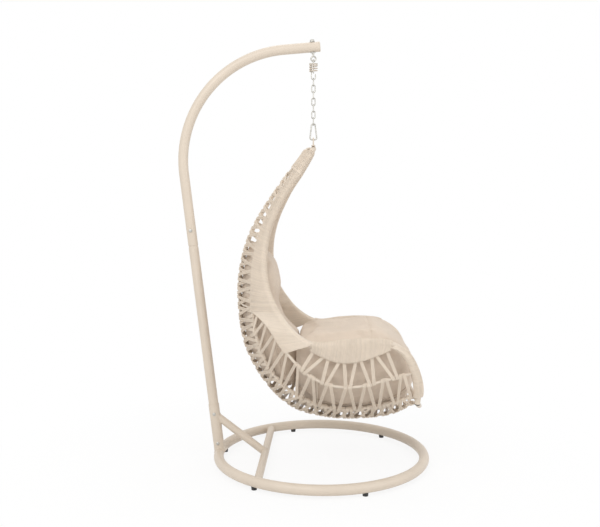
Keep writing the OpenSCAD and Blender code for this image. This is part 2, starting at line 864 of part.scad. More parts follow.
// Coil with a flat half turn on the top pull's feet and another under the bottom pull's cross bar.
// Between them it has as many turns as clear the flat ones, and three quarters of a turn more
// to come round from the feet to the bar
module spring_coil() {
    steps = 56;
    sides = 6;
    flat = 0.5;
    coil_r = (spring_d - spring_wire_d) / 2;
    wire_r = spring_wire_d / 2;
    rise = spring_len - spring_wire_d - 2 * weld_gap;
    turns = floor(rise * (1 - flat) / (spring_wire_d + weld_gap / 2) - 0.75) + 0.75;
    total = turns + 2 * flat;
    path = [for (i = [0 : steps]) let (t = total * i / steps, lift = max(0, min(1, (t - flat) / turns)))
        [
            hang_x + coil_r * cos(90 + 360 * t),
            coil_r * sin(90 + 360 * t),
            coil_low + weld_gap + wire_r + rise * lift
        ]];
    color(steel)
        rod(path, wire_r, sides);
}

// Bar across the coil's top, one leg down through it, and an open hook below
module spring_bottom_pull() {
    leg = pull_w / 2;
    bend_z = hook_seat - pull_r + hook_bend_r;
    tip = pull_wire_d * 2.6;
    color(steel)
        translate([hang_x, 0, 0]) {
            translate([-foot_reach, 0, cross_bar_z])
                rotate([0, 90, 0])
                    cylinder(d = pull_wire_d, h = 2 * foot_reach);
            translate([-leg, 0, bend_z])
                cylinder(d = pull_wire_d, h = cross_bar_z - bend_z);
            translate([0, 0, bend_z])
                rotate([90, 0, 0])
                    bent_wire(hook_bend_r, pull_wire_d, 180, 180);
            translate([hook_bend_r, 0, bend_z])
                cylinder(d = pull_wire_d, h = tip);
            translate([hook_bend_r, 0, bend_z + tip])
                sphere(d = pull_wire_d);
        }
}

// Link number i, counted from the hook; odd links stand across the chair
module chain_link(i) {
    bend_r = (link_in_w + link_wire_d) / 2;
    straight = link_in_len - link_in_w;
    top = link_top_1 - (i - 1) * link_step - link_in_w / 2;
    color(steel)
        translate([hang_x, 0, top])
            rotate([90, 0, i % 2 == 1 ? 90 : 0]) {
                bent_wire(bend_r, link_wire_d, 0, 180);
                translate([0, -straight, 0])
                    bent_wire(bend_r, link_wire_d, 180, 180);
                for (s = [-1, 1])
                    translate([s * bend_r, 0, 0])
                        rotate([90, 0, 0])
                            cylinder(d = link_wire_d, h = straight);
            }
}

clip_side = clip_span / cos(clip_slope);
// Shares of the carabiner's side where the gate has its pivot and its nose
gate_from = 0.14;
gate_to = 0.92;
gate_d = clip_wire_d - 0.6;
gate_play = 0.5;
gate_pin_d = 2.4;
tongue_t = 2.4;
gate_top = clip_side * gate_from;
gate_low = clip_side * gate_to;

// Puts an object on the gate's side of the carabiner, its z axis down that side
module on_gate_side(along) {
    translate([hang_x, 0, clip_top_z])
        rotate([0, 180 - clip_slope, 0])
            translate([-clip_bend_r, 0, along])
                children();
}

// Ball inside the wire that joins two lengths of it end to end
module wire_seam(along) {
    translate([0, 0, along])
        sphere(d = clip_wire_d - 0.2);
}

// Hole or pin across the carabiner at the gate's pivot
module across_gate(d, half) {
    translate([0, half, 0])
        rotate([90, 0, 0])
            cylinder(d = d, h = 2 * half);
}

module clip_corner() {
    translate([hang_x + clip_low_x, 0, clip_low_z])
        rotate([90, 0, 0])
            bent_wire(clip_bend_r, clip_wire_d, -90, 90 + clip_slope);
}

module carabiner_body() {
    shoulder = gate_top - gate_d / 2 - gate_play;
    tongue_w = gate_d - 1;
    color(steel) {
        translate([hang_x, 0, clip_top_z])
            rotate([90, 0, 0])
                bent_wire(clip_bend_r, clip_wire_d, clip_slope, 180 - 2 * clip_slope);
        clip_corner();
        mirror_about_hang()
            clip_corner();
        translate([hang_x - clip_low_x, 0, clip_wire_z])
            rotate([0, 90, 0])
                cylinder(d = clip_wire_d, h = 2 * clip_low_x);
        mirror_about_hang()
            on_gate_side(0) {
                cylinder(d = clip_wire_d, h = clip_side);
                wire_seam(0);
                wire_seam(clip_side);
            }
        on_gate_side(0) {
            cylinder(d = clip_wire_d, h = shoulder);
            wire_seam(0);
            wire_seam(clip_side);
        }
        on_gate_side(gate_top)
            difference() {
                union() {
                    translate([0, 0, -gate_top + shoulder - 1])
                        translate([-tongue_w / 2, -tongue_t / 2, 0])
                            cube([tongue_w, tongue_t, gate_top - shoulder + 1]);
                    across_gate(tongue_w, tongue_t / 2);
                }
                across_gate(gate_pin_d, clip_wire_d);
            }
        on_gate_side(gate_low + gate_play)
            cylinder(d = clip_wire_d, h = clip_side - gate_low - gate_play);
    }
}

module mirror_about_hang() {
    translate([hang_x, 0, 0])
        mirror([1, 0, 0])
            translate([-hang_x, 0, 0])
                children();
}

module gate_pin() {
    color(steel)
        on_gate_side(gate_top)
            across_gate(gate_pin_d - 0.1, clip_wire_d / 2 + 0.4);
}

module carabiner_gate() {
    slot = tongue_t + 2 * fit_gap;
    color(steel)
        on_gate_side(gate_top)
            difference() {
                union() {
                    cylinder(d = gate_d, h = gate_low - gate_top);
                    sphere(d = gate_d);
                }
                translate([-gate_d, -slot / 2, -gate_d])
                    cube([2 * gate_d, slot, 1.6 * gate_d]);
                across_gate(gate_pin_d, clip_wire_d);
            }
}

// --- Basket ---
module basket_place() {
    translate(apex)
        children();
}

module basket_eye() {
    leg = loop_wire_d / 2 + clip_wire_d;
    bend_z = loop_under - (leg - loop_wire_d / 2);
    plate_z = loop_under - eye_h - plate_t;
    plate_w = loop_wire_d * 3;
    color(beige)
        translate([hang_x, 0, 0]) {
            translate([0, 0, bend_z])
                rotate([90, 0, 90])
                    bent_wire(leg, loop_wire_d, 0, 180);
            for (s = [-1, 1])
                translate([0, s * leg, plate_z + plate_t / 2])
                    cylinder(d = loop_wire_d, h = bend_z - plate_z - plate_t / 2);
            translate([-plate_w / 2, -leg - loop_wire_d, plate_z])
                cube([plate_w, 2 * leg + 2 * loop_wire_d, plate_t]);
        }
}

module rim_tube() {
    color(beige)
        basket_place()
            tube(whole_rim, rim_r, rim_wall, 10);
}

module post_caps() {
    plug = 14;
    dir = unit(rim_foot - left_rim[len(left_rim) - 2]);
    color(black)
        basket_place()
            for (side = [LEFT, RIGHT])
                side_view(side) {
                    bar_between(rim_foot + dir * weld_gap, rim_foot + dir * 4, rim_r);
                    bar_between(rim_foot - dir * plug, rim_foot + dir * 1, rim_r - rim_wall - 1);
                }
}

module side_view(side) {
    if (side > 0)
        children();
    else
        mirror([0, 1, 0])
            children();
}

module front_rail() {
    color(beige)
        basket_place()
            rod(rail_path, rail_r, 10);
}

module spine_rod() {
    color(beige)
        basket_place()
            rod(spine, rod_r);
}

module side_rod(side) {
    color(beige)
        basket_place()
            rod(side_of(left_side, side), rod_r);
}

module hoop(side) {
    color(beige)
        basket_place()
            rod(side_of(left_hoop_path, side), rod_r);
}

module arm_rail(side) {
    color(beige)
        basket_place()
            rod(side_of(left_arm_rail_path, side), rod_r);
}

// Bent wire through points given for the left half, mirrored to the right
module rib(half) {
    color(beige)
        basket_place()
            rod(concat(half, reversed([for (p = half) if (p[1] > 0) mirror_y(p)])), rib_r);
}

module back_rib() {
    middle = [100, 0, rib_z];
    rim_s = length_at_z(left_rim, rib_z);
    rib([
        off_rod(left_rim, rim_s, point_at_z(left_side, rib_z) - point_at_z(left_rim, rib_z), rim_r + 2),
        inside_at(left_side, length_at_z(left_side, rib_z), middle),
        inside_at(spine, length_at_z(spine, rib_z), middle)
    ]);
}

module lower_rib() {
    middle = [60, 0, 70 - arm_drop];
    rib([
        inside_at(left_side, length_at_z(left_side, 250 - base_drop), middle),
        inside_at(spine, length_at_z(spine, 198 - base_drop), middle)
    ]);
}

module seat_rib() {
    x = front_reach - 435;
    middle = [x, 0, 30 - arm_drop];
    rib([
        inside_at(left_hoop_path, length_at_x(left_hoop_path, x), middle),
        inside_at(left_side, length_at_x(left_side, x), middle),
        inside_at(spine, length_at_x(spine, x), middle)
    ]);
}

WRAP_RINGS = 16;
module back_wrap(side) {
    rim_part = spread(left_rim, back_wrap_from, back_wrap_to, WRAP_RINGS);
    rod_part = spread(left_side, 14, length_at_z(left_side, rib_z + rib_play), WRAP_RINGS);
    color(rope_beige)
        basket_place()
            double_wrap(side_of(rim_part, side), side_of(rod_part, side), rim_r, rod_r);
}

module shoulder_wrap(side) {
    rings = 6;
    rim_part = spread(left_rim, shoulder_from, shoulder_to, rings);
    rod_part = spread(left_hoop_path, 14, length_at_x(left_hoop_path, shoulder_hoop_x), rings);
    color(rope_beige)
        basket_place()
            double_wrap(side_of(rim_part, side), side_of(rod_part, side), rim_r, rod_r);
}

module arm_wrap(side) {
    rings = 10;
    rim_part = spread(left_rim, arm_from + 2, arm_to - 2, rings);
    rod_part = spread(left_arm_rail_path, 3, path_length(left_arm_rail_path) - 3, rings);
    color(rope_beige)
        basket_place()
            double_wrap(side_of(rim_part, side), side_of(rod_part, side), rim_r, rod_r);
}

module post_wrap(side) {
    color(rope_beige)
        basket_place()
            single_wrap(side_of(spread(left_rim, post_from, post_to, 10), side), rim_r, post_wrap_t);
}

module arm_lacing(side) {
    upper = spread(left_arm_rail_path, 6, path_length(left_arm_rail_path) - 6, 14);
    lower = spread(left_hoop_path, length_at_x(left_hoop_path, -70), path_length(left_hoop_path) - 30, 14);
    color(rope_beige)
        basket_place()
            lacing(side_of(upper, side), side_of(lower, side), -base_drop);
}

module side_lacing(side) {
    upper = spread(left_hoop_path, 20, path_length(left_hoop_path) - 10, 18);
    lower = spread(left_side, length_at_z(left_side, rib_z - 60), path_length(left_side) - 8, 24);
    color(rope_beige)
        basket_place()
            lacing(side_of(upper, side), side_of(lower, side), shoulder_low_z - rope_w);
}

module back_lacing(side) {
    outer = spread(left_side, 70, path_length(left_side) - 20, 36);
    inner = spread(spine, 150, path_length(spine) - 20, 36);
    color(rope_beige)
        basket_place()
            lacing(side_of(outer, side), side_of(inner, side), rib_z - rope_w);
}

// --- Cushions ---
// The ribs stand off square to the rods, so the cushions on them lie a little further away
rib_cant = 1.75;
rest_gap = rod_r + rib_d + 2 * weld_gap + rib_cant;
back_press = 1;
seat_front = 432;
seat_back = seat_front - seat_len;
function mid_of(ring) = [for (k = [0 : 2]) [for (p = ring) p[k]] * [for (p = ring) 1] / len(ring)];
function drawn_in(ring, by) = let (m = mid_of(ring)) [for (p = ring) p - unit(p - m) * by];

// Section of the seat cushion across the chair at x, following the rods below it
function seat_section(x, top, narrow) =
    let (g = rest_gap)
    let (s = point_at_x(spine, x), r = point_at_x(left_side, x), h = point_at_x(left_hoop_path, x))
    let (w = point_at_x(left_rim, max(x, 0))[1] - 34 - narrow)
    let (half = [
        [x, r[1] * 0.414, s[2] * 0.55 + r[2] * 0.45 + g],
        [x, r[1] * 0.92 - narrow, r[2] + g],
        [x, min(h[1] - g, w) - 8, h[2] + g * 0.6],
        [x, w, (h[2] + top) / 2],
        [x, w - 8, top - 46],
        [x, w - 60, top - 8]
    ])
    concat(
        [[x, 0, s[2] + g]], half, [[x, 0, top]], reversed([for (p = half) mirror_y(p)])
    );

module cushion(rings) {
    inner = [for (i = [1 : len(rings) - 2]) drawn_in(rings[i], cover_t)];
    difference() {
        skin(rings);
        skin(inner);
        children();
    }
}

module seat_cushion() {
    xs = [0, 0.02, 0.1, 0.25, 0.42, 0.6, 0.78, 0.92, 0.985, 1];
    drops = [70, 46, 32, 24, 16, 6, 0, 14, 44, 70];
    rounding = [40, 16, 4, 0, 0, 0, 0, 6, 22, 44];
    rings = [for (i = [0 : len(xs) - 1])
        seat_section(seat_back + seat_len * xs[i], -seat_top - drops[i], rounding[i])];
    color(cloth_beige)
        basket_place()
            cushion(reversed(rings))
                translate([seat_back - 20, -zip_len / 2, -arm_drop - 90])
                    cube([20 + cover_t * 3, zip_len, zip_gap]);
}

// Section of the back cushion at height z, following the rods behind it
function back_section(z, t, narrow) =
    let (s = point_at_z(spine, z), r = point_at_z(left_side, z), m = point_at_z(left_rim, z))
    let (steep = -heading(spine, lengths(spine), length_at_z(spine, z))[2])
    let (back = s[0] + (rest_gap - back_press) / steep, front = min(back + t, seat_back - hang_gap))
    let (room = (front - back - wrap_t - 4 * cover_t) / 0.9 * r[1] / (r[0] - s[0]))
    let (w = min(m[1] - cushion_gap, r[1] + 30 - cushion_gap, room) - narrow)
    let (hollow = (r[0] - s[0]) * w / r[1])
    let (side = back + 0.9 * hollow + wrap_t + hang_gap)
    let (half = [
        [back + 0.45 * hollow, w * 0.45, z],
        [side, w * 0.9, z],
        [side + 0.4 * (front - side), w, z],
        [side + 0.8 * (front - side), w * 0.86, z],
        [front - 4, w * 0.45, z]
    ])
    concat([[back, 0, z]], half, [[front, 0, z]], reversed([for (p = half) mirror_y(p)]));

module back_cushion() {
    foot = base_drop - back_foot;
    top = foot - back_h;
    zs = [0, 0.021, 0.072, 0.18, 0.303, 0.433, 0.562, 0.664, 0.721, 0.8, 0.88, 0.95, 1];
    // From the seat cushion's top down it is more than thick enough to meet that cushion
    thick = [0.5, 0.62, 0.72, 0.84, 0.96, 1.08, 1.22, 1.36, 2, 2, 2, 2, 2];
    rounding = [40, 22, 8, 0, 0, 0, 4, 8, 8, 6, 4, 8, 16];
    rings = [for (i = [0 : len(zs) - 1])
        back_section(-top - back_h * zs[i], back_t * thick[i], rounding[i])];
    color(cloth_beige)
        basket_place()
            cushion(reversed(rings))
                translate([-back_reach, -zip_len / 2, -foot + back_h * 0.35])
                    cube([back_reach / 3, zip_len, zip_gap]);
}

base_ring();
cross_bar();
brace();
pole_socket();
lower_pole();
upper_pole();
arm_cap();
joint_bolts();
joint_nuts();
glides();
eye_bolt();
eye_nut();
eye_washers();
spring_top_pull();
spring_coil();
spring_bottom_pull();
chain_link(1);  // chain_link_1
chain_link(2);  // chain_link_2
chain_link(3);  // chain_link_3
chain_link(4);  // chain_link_4
chain_link(5);  // chain_link_5
chain_link(6);  // chain_link_6
chain_link(7);  // chain_link_7
carabiner_body();
carabiner_gate();
gate_pin();
basket_eye();
rim_tube();
post_caps();
front_rail();
spine_rod();
side_rod(LEFT);  // left_side_rod
side_rod(RIGHT);  // right_side_rod
hoop(LEFT);  // left_hoop
hoop(RIGHT);  // right_hoop
arm_rail(LEFT);  // left_arm_rail
arm_rail(RIGHT);  // right_arm_rail
back_rib();
lower_rib();
seat_rib();
back_wrap(LEFT);  // left_back_wrap
back_wrap(RIGHT);  // right_back_wrap
shoulder_wrap(LEFT);  // left_shoulder_wrap
shoulder_wrap(RIGHT);  // right_shoulder_wrap
arm_wrap(LEFT);  // left_arm_wrap
arm_wrap(RIGHT);  // right_arm_wrap
post_wrap(LEFT);  // left_post_wrap
post_wrap(RIGHT);  // right_post_wrap
arm_lacing(LEFT);  // left_arm_lacing
arm_lacing(RIGHT);  // right_arm_lacing
side_lacing(LEFT);  // left_side_lacing
side_lacing(RIGHT);  // right_side_lacing
back_lacing(LEFT);  // left_back_lacing
back_lacing(RIGHT);  // right_back_lacing
seat_cushion();
back_cushion();
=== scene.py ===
"""Dresses a hanging egg chair: coated steel stand, spring and chain, rope-laced basket and cushions."""

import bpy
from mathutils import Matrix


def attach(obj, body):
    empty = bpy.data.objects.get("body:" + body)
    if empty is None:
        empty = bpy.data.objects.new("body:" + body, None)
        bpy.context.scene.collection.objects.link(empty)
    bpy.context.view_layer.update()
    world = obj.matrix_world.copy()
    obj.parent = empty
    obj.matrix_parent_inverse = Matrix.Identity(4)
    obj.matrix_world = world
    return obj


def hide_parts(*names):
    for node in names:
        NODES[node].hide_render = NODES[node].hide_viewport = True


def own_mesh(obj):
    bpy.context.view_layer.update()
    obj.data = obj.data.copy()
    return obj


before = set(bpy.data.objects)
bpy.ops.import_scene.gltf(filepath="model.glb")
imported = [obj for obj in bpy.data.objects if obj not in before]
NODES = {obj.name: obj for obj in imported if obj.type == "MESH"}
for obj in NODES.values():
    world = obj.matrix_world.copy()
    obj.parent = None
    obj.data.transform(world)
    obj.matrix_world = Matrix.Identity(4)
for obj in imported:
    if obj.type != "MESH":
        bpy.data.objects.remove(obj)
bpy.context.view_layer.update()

from functools import partialmethod
from itertools import product
from math import atan2, cos, pi, radians, sin, sqrt

import bpy
import bmesh
import numpy as np
from bpy.props import FloatProperty, FloatVectorProperty, IntProperty, PointerProperty
from mathutils import Vector, noise
from mathutils.bvhtree import BVHTree
from mathutils.kdtree import KDTree

bl_info = {
    "name": "Hanging egg chair",
    "version": (1, 0, 0),
    "blender": (4, 5, 0),
    "location": "3D View > Sidebar > Egg Chair",
    "description": "Builds the finishes, ropes and cushions of a hanging egg chair on its frame",
    "category": "Add Mesh",
}

MM = 0.001
HANG_X = 0.041129
APEX = np.array([HANG_X, 0.0, 1.44424])
RING_X = 0.0790764
RING_R = 0.476
RING_Z = 0.034
TUBE_R, BAR_R, SOCKET_R = 0.0225, 0.0175, 0.0245
BAR_BACK, BRACE_AT = 0.262, 0.180
LEAN = radians(6.8)
SOCKET_LONG = 0.115
SIDES = (("left", 1), ("right", -1))
COATED = ["base_ring", "cross_bar", "brace", "pole_socket", "lower_pole", "upper_pole", "arm_cap",
          "basket_eye"]
FASTENERS = ["joint_bolts", "joint_nuts", "eye_bolt", "eye_nut", "eye_washers"]
HANGERS = ["spring_top_pull", "spring_bottom_pull", "carabiner_body", "carabiner_gate", "gate_pin"]
CHAIN = [f"chain_link_{i}" for i in range(1, 8)]
PLASTIC = ["glides", "post_caps"]


def size(name, what, default, low, high, **more):
    return FloatProperty(name=name, description=what, default=default, min=low, max=high, **more)


def length(name, what, default, low, high):
    return size(name, what, default, low, high, unit="LENGTH", subtype="DISTANCE", precision=4)


def tint(name, what, default):
    return FloatVectorProperty(
        name=name, description=what, default=default, size=3, min=0, max=1, subtype="COLOR")


class EggChairSteel(bpy.types.PropertyGroup):
    coat: tint("Coat colour", "Colour of the powder coat", (0.675, 0.588, 0.492))
    coat_rough: size("Coat roughness", "Roughness of the powder coat", 0.38, 0.1, 0.9, subtype="FACTOR")
    zinc: tint("Zinc colour", "Colour of the plated fittings", (0.56, 0.545, 0.505))
    plastic: tint("Plastic colour", "Colour of the feet and end caps", (0.018, 0.018, 0.018))
    weld: length("Weld bead", "Thickness of a weld bead", 0.005, 0.002, 0.008)


class EggChairRope(bpy.types.PropertyGroup):
    cord_d: length("Cord diameter", "Thickness of the round cord", 0.0048, 0.003, 0.008)
    colour: tint("Rope colour", "Colour of the cord", (0.76, 0.665, 0.56))
    strands: IntProperty(name="Cords a band", description="Cords side by side", default=3, min=1, max=4)
    lift: length("Crossing lift", "How far the back's upper bands pass over the lower", 0.0052, 0.0, 0.010)


class EggChairCushion(bpy.types.PropertyGroup):
    colour: tint("Cloth colour", "Colour of the cushion covers", (0.73, 0.62, 0.515))
    pressure: size("Filling pressure", "How hard the filling pushes the covers out", 4.0, 1, 10)
    piping_d: length("Piping diameter", "Thickness of the sewn edge", 0.006, 0.003, 0.010)
    ease: length("Ease", "How much smaller the covers are before filling", 0.004, 0.0, 0.012)
    voxel: length("Cloth grid", "Grid of the covers before they are filled", 0.007, 0.005, 0.010)


class EggChairStage(bpy.types.PropertyGroup):
    floor: tint("Floor colour", "Colour of the floor", (0.9, 0.9, 0.9))
    key: size("Key light", "Power of the key light", 60.0, 0, 500, unit="POWER")
    lens: size("Lens", "Focal length of the camera in millimetres", 45.63, 20, 120)


# --- Node sums ---
def spaced(named):
    return {key.replace("_", " "): value for key, value in named.items()}


class Flow:
    """A node's output that takes part in sums."""

    def __init__(self, graph, out):
        self.graph = graph
        self.out = out

    def flow(self, key):
        """Another output of the same node, by its name or number."""
        outs = [o for o in self.out.node.outputs if o.enabled]
        found = outs[key] if isinstance(key, int) else [o for o in outs if o.name == key][0]
        return Flow(self.graph, found)

    def do(self, word, *others):
        """One step of a Math node, or of Vector Math where a vector takes part."""
        values = (self, *others)
        vector = any(isinstance(v, Flow) and v.out.type == "VECTOR" for v in values)
        kind = "ShaderNodeVectorMath" if vector else "ShaderNodeMath"
        if vector:
            values = [v if isinstance(v, (Flow, tuple)) else (v, v, v) for v in values]
        return self.graph.add(kind, {"operation": word.upper()}, dict(enumerate(values)))

    __add__ = partialmethod(do, "add")
    __sub__ = partialmethod(do, "subtract")
    __truediv__ = partialmethod(do, "divide")
    __pow__ = partialmethod(do, "power")
    __abs__ = partialmethod(do, "absolute")
    __lt__ = partialmethod(do, "less_than")

    def __mul__(self, other):
        mine = self.out.type == "VECTOR"
        its = isinstance(other, Flow) and other.out.type == "VECTOR"
        if mine == its or isinstance(other, tuple):
            return self.do("multiply", other)
        vector, number = (self, other) if mine else (other, self)
        scale = {0: vector, "Scale": number}
        return self.graph.add("ShaderNodeVectorMath", {"operation": "SCALE"}, scale)

    def clamp(self, low=0.0, high=1.0):
        return self.graph.step("ShaderNodeClamp", Value=self, Min=low, Max=high)


class Graph:
    """A node tree that is written as Python expressions."""

    def __init__(self, tree):
        self.tree = tree

    def add(self, kind, settings=None, values=None):
        """Adds a node, sets or links its inputs by name or number, and gives its first output."""
        node = self.tree.nodes.new(kind)
        for key, value in (settings or {}).items():
            setattr(node, key, value)
        for key, value in (values or {}).items():
            ins = [s for s in node.inputs if s.enabled]
            socket = ins[key] if isinstance(key, int) else [s for s in ins if s.name == key][0]
            if isinstance(value, Flow):
                self.tree.links.new(value.out, socket)
            elif socket.type == "RGBA" and len(value) == 3:
                socket.default_value = (*value, 1.0)
            else:
                socket.default_value = value
        outs = [o for o in node.outputs if o.enabled]
        return Flow(self, outs[0] if outs else None)

    def step(self, kind, settings=None, **values):
        """Adds a node. In the names of its inputs _ stands for a space."""
        return self.add(kind, settings, spaced(values))

    def geo(self, kind, settings=None, **values):
        return self.step(f"GeometryNode{kind}", settings, **values)

    def store(self, geometry, name, value, kind="FLOAT"):
        """Keeps a value at each point, for the finish."""
        settings = {"data_type": kind, "domain": "POINT"}
        return self.geo("StoreNamedAttribute", settings, Geometry=geometry, Name=name, Value=value)


class Finish(Graph):
    """A material: its colour, roughness and bump as expressions."""

    def __init__(self, name):
        self.material = bpy.data.materials.new(name)
        self.material.use_nodes = True
        super().__init__(self.material.node_tree)
        self.shader = self.tree.nodes["Principled BSDF"]

    def place(self):
        return self.add("ShaderNodeTexCoord").flow("Object")

    def noise(self, at, scale, detail=3.0, rough=0.5):
        return self.step("ShaderNodeTexNoise", Vector=at, Scale=scale, Detail=detail, Roughness=rough)

    def attribute(self, name, out="Fac"):
        return self.add("ShaderNodeAttribute", {"attribute_name": name}).flow(out)

    def axes(self, vector):
        split = self.add("ShaderNodeSeparateXYZ", {}, {0: vector})
        return [split.flow(i) for i in range(3)]

    def blend(self, factor, a, b):
        mix = self.add("ShaderNodeMix", {"data_type": "RGBA"}, {"Factor": factor, "A": a, "B": b})
        return mix.flow("Result")

    def between(self, value, low, high, to_low=0.0, to_high=1.0):
        return self.step("ShaderNodeMapRange", Value=value, From_Min=low, From_Max=high,
                         To_Min=to_low, To_Max=to_high)

    def bump(self, height, distance, strength=1.0):
        return self.step("ShaderNodeBump", Height=height, Distance=distance, Strength=strength)

    def wear(self, **sockets):
        """Links or sets the shader's sockets by their names."""
        for key, value in spaced(sockets).items():
            socket = self.shader.inputs[key]
            if isinstance(value, Flow):
                self.tree.links.new(value.out, socket)
            elif socket.type == "RGBA":
                socket.default_value = (*value, 1.0)
            else:
                socket.default_value = value
        return self.material

    def show(self, surface):
        self.tree.links.new(surface.out, self.tree.nodes["Material Output"].inputs["Surface"])


def seen(graph):
    """1 for the rays that see the backdrop, 0 for those that light the chair."""
    rays = graph.add("ShaderNodeLightPath")
    return rays.flow("Is Camera Ray").do("maximum", rays.flow("Is Glossy Ray")).do(
        "maximum", rays.flow("Is Transmission Ray"))


def shade(colour, by):
    return tuple(max(0.0, min(1.0, c * by)) for c in colour)


def powder_coat(colour, rough, name="powder_coat"):
    f = Finish(name)
    at = f.place()
    cloud = f.noise(at, 9.0, 3.0)
    peel = f.noise(at, 950.0, 2.0)
    dust = f.noise(at, 60.0, 4.0, 0.6)
    hue = f.blend(f.between(cloud, 0.3, 0.7), shade(colour, 0.975), shade(colour, 1.02))
    return f.wear(
        Base_Color=f.blend(f.between(dust, 0.6, 0.85, 0.0, 0.2), hue, shade(colour, 0.88)),
        Roughness=f.between(dust + peel * 0.3, 0.3, 1.0, rough - 0.04, rough + 0.10),
        Normal=f.bump(peel, 0.00004, 0.2),
        Specular_IOR_Level=0.45,
    )


def zinc_plate(colour):
    f = Finish("zinc_plate")
    at = f.place()
    spangle = f.noise(at, 140.0, 3.0, 0.6)
    scratch = f.noise(at, 900.0, 2.0, 0.7)
    return f.wear(
        Base_Color=f.blend(f.between(spangle, 0.35, 0.7), shade(colour, 0.82), shade(colour, 1.12)),
        Metallic=0.9,
        Roughness=f.between(spangle * 0.6 + scratch * 0.4, 0.3, 0.7, 0.26, 0.5),
        Normal=f.bump(scratch, 0.0001, 0.5),
    )


def black_plastic(colour):
    f = Finish("black_plastic")
    at = f.place()
    grain = f.noise(at, 1400.0, 2.0)
    scuff = f.noise(at, 45.0, 5.0, 0.7)
    return f.wear(
        Base_Color=f.blend(f.between(scuff, 0.5, 0.8), colour, shade(colour, 2.2)),
        Roughness=f.between(scuff, 0.3, 0.8, 0.42, 0.62),
        Normal=f.bump(grain, 0.00012, 0.6),
    )


def woven_cord(colour):
    """Round cord of twisted yarns, with the lay and the fuzz in its bump, and painted shade in the grooves of
    the lay.
    """
    lay_long = 0.009
    f = Finish("woven_cord")
    at = f.place()
    along = f.attribute("along")
    around = f.attribute("around", "Vector")
    x, y, _ = f.axes(around)
    angle = along * (2 * pi / lay_long)
    lay = angle.do("sine") * x + angle.do("cosine") * y
    yarn = abs(lay) ** 0.7
    fuzz = f.noise(at, 1500.0, 3.0, 0.7)
    tone = f.noise(at, 26.0, 3.0, 0.6)
    turn = f.attribute("turn")
    hue = f.blend(f.between(tone * 0.6 + turn * 0.4, 0.25, 0.75), shade(colour, 0.95), shade(colour, 1.06))
    return f.wear(
        # Painted shade: the grooves between the yarns (low yarn plus fuzz) are coloured darker, 0.78 of the
        # cord colour; the turn tone differs at random
        Base_Color=f.blend(f.between(yarn + fuzz * 0.3, 0.15, 0.6), shade(colour, 0.78), hue),
        Roughness=f.between(fuzz, 0.3, 0.7, 0.72, 0.9),
        Normal=f.bump(yarn + fuzz * 0.4, 0.0004, 0.6),
        Specular_IOR_Level=0.25,
    )


def cushion_cloth(colour):
    """Plain-woven cloth, its threads on three planes that are joined by the surface's direction, with painted
    shade in the gaps between the threads.
    """
    thread = 0.0022
    f = Finish("cushion_cloth")
    at = f.place()
    nap = f.noise(at, 700.0, 4.0, 0.7)
    drift = f.noise(at, 7.0, 3.0, 0.6)
    waves = f.axes((at * (2 * pi / thread)).do("sine"))
    facing = f.axes(f.add("ShaderNodeNewGeometry").flow("Normal"))
    weave = 0.0
    for k in range(3):
        a, b = waves[(k + 1) % 3], waves[(k + 2) % 3]
        share = abs(facing[k]) ** 4
        weave = (abs(a * b) ** 0.5) * share + weave
    slub = f.noise(at * (60.0, 900.0, 900.0), 1.0, 2.0)
    hue = f.blend(f.between(drift, 0.3, 0.7), shade(colour, 0.93), shade(colour, 1.07))
    # Partly painted shade: the gaps of the weave are coloured darker, 0.83 of the cloth colour; nap and slub
    # add tone that differs at random
    thick = f.between(weave * 0.6 + nap * 0.4 + slub * 0.2, 0.2, 0.8)
    return f.wear(
        Base_Color=f.blend(thick, shade(colour, 0.83), hue),
        Roughness=f.between(nap, 0.3, 0.7, 0.78, 0.95),
        Normal=f.bump(weave + nap * 0.5, 0.0004, 0.55),
        Sheen_Weight=0.15,
        Specular_IOR_Level=0.2,
    )


# --- Paths of the basket, in metres from the apex ---
def points(*rows):
    return np.array(rows, float) * MM


def mirrored(line):
    return np.asarray(line) * (1, -1, 1)


def between(a, b, ta, tb, t):
    return ((tb - t) * a + (t - ta) * b) / (tb - ta)


def smooth(through, steps=10):
    """Centripetal spline through the points."""
    p = np.asarray(through, float)
    p = np.vstack([2 * p[0] - p[1], p, 2 * p[-1] - p[-2]])
    out = []
    for a, b, c, d in zip(p[:-3], p[1:-2], p[2:-1], p[3:]):
        t1 = sqrt(np.linalg.norm(b - a))
        t2 = t1 + sqrt(np.linalg.norm(c - b))
        t3 = t2 + sqrt(np.linalg.norm(d - c))
        for j in range(steps):
            t = t1 + j / steps * (t2 - t1)
            bc = between(b, c, t1, t2, t)
            abc = between(between(a, b, 0, t1, t), bc, 0, t2, t)
            bcd = between(bc, between(c, d, t2, t3, t), t1, t3, t)
            out.append(between(abc, bcd, t1, t2, t))
    return np.array(out + [p[-2]])


def unit(v):
    return v / np.linalg.norm(v)


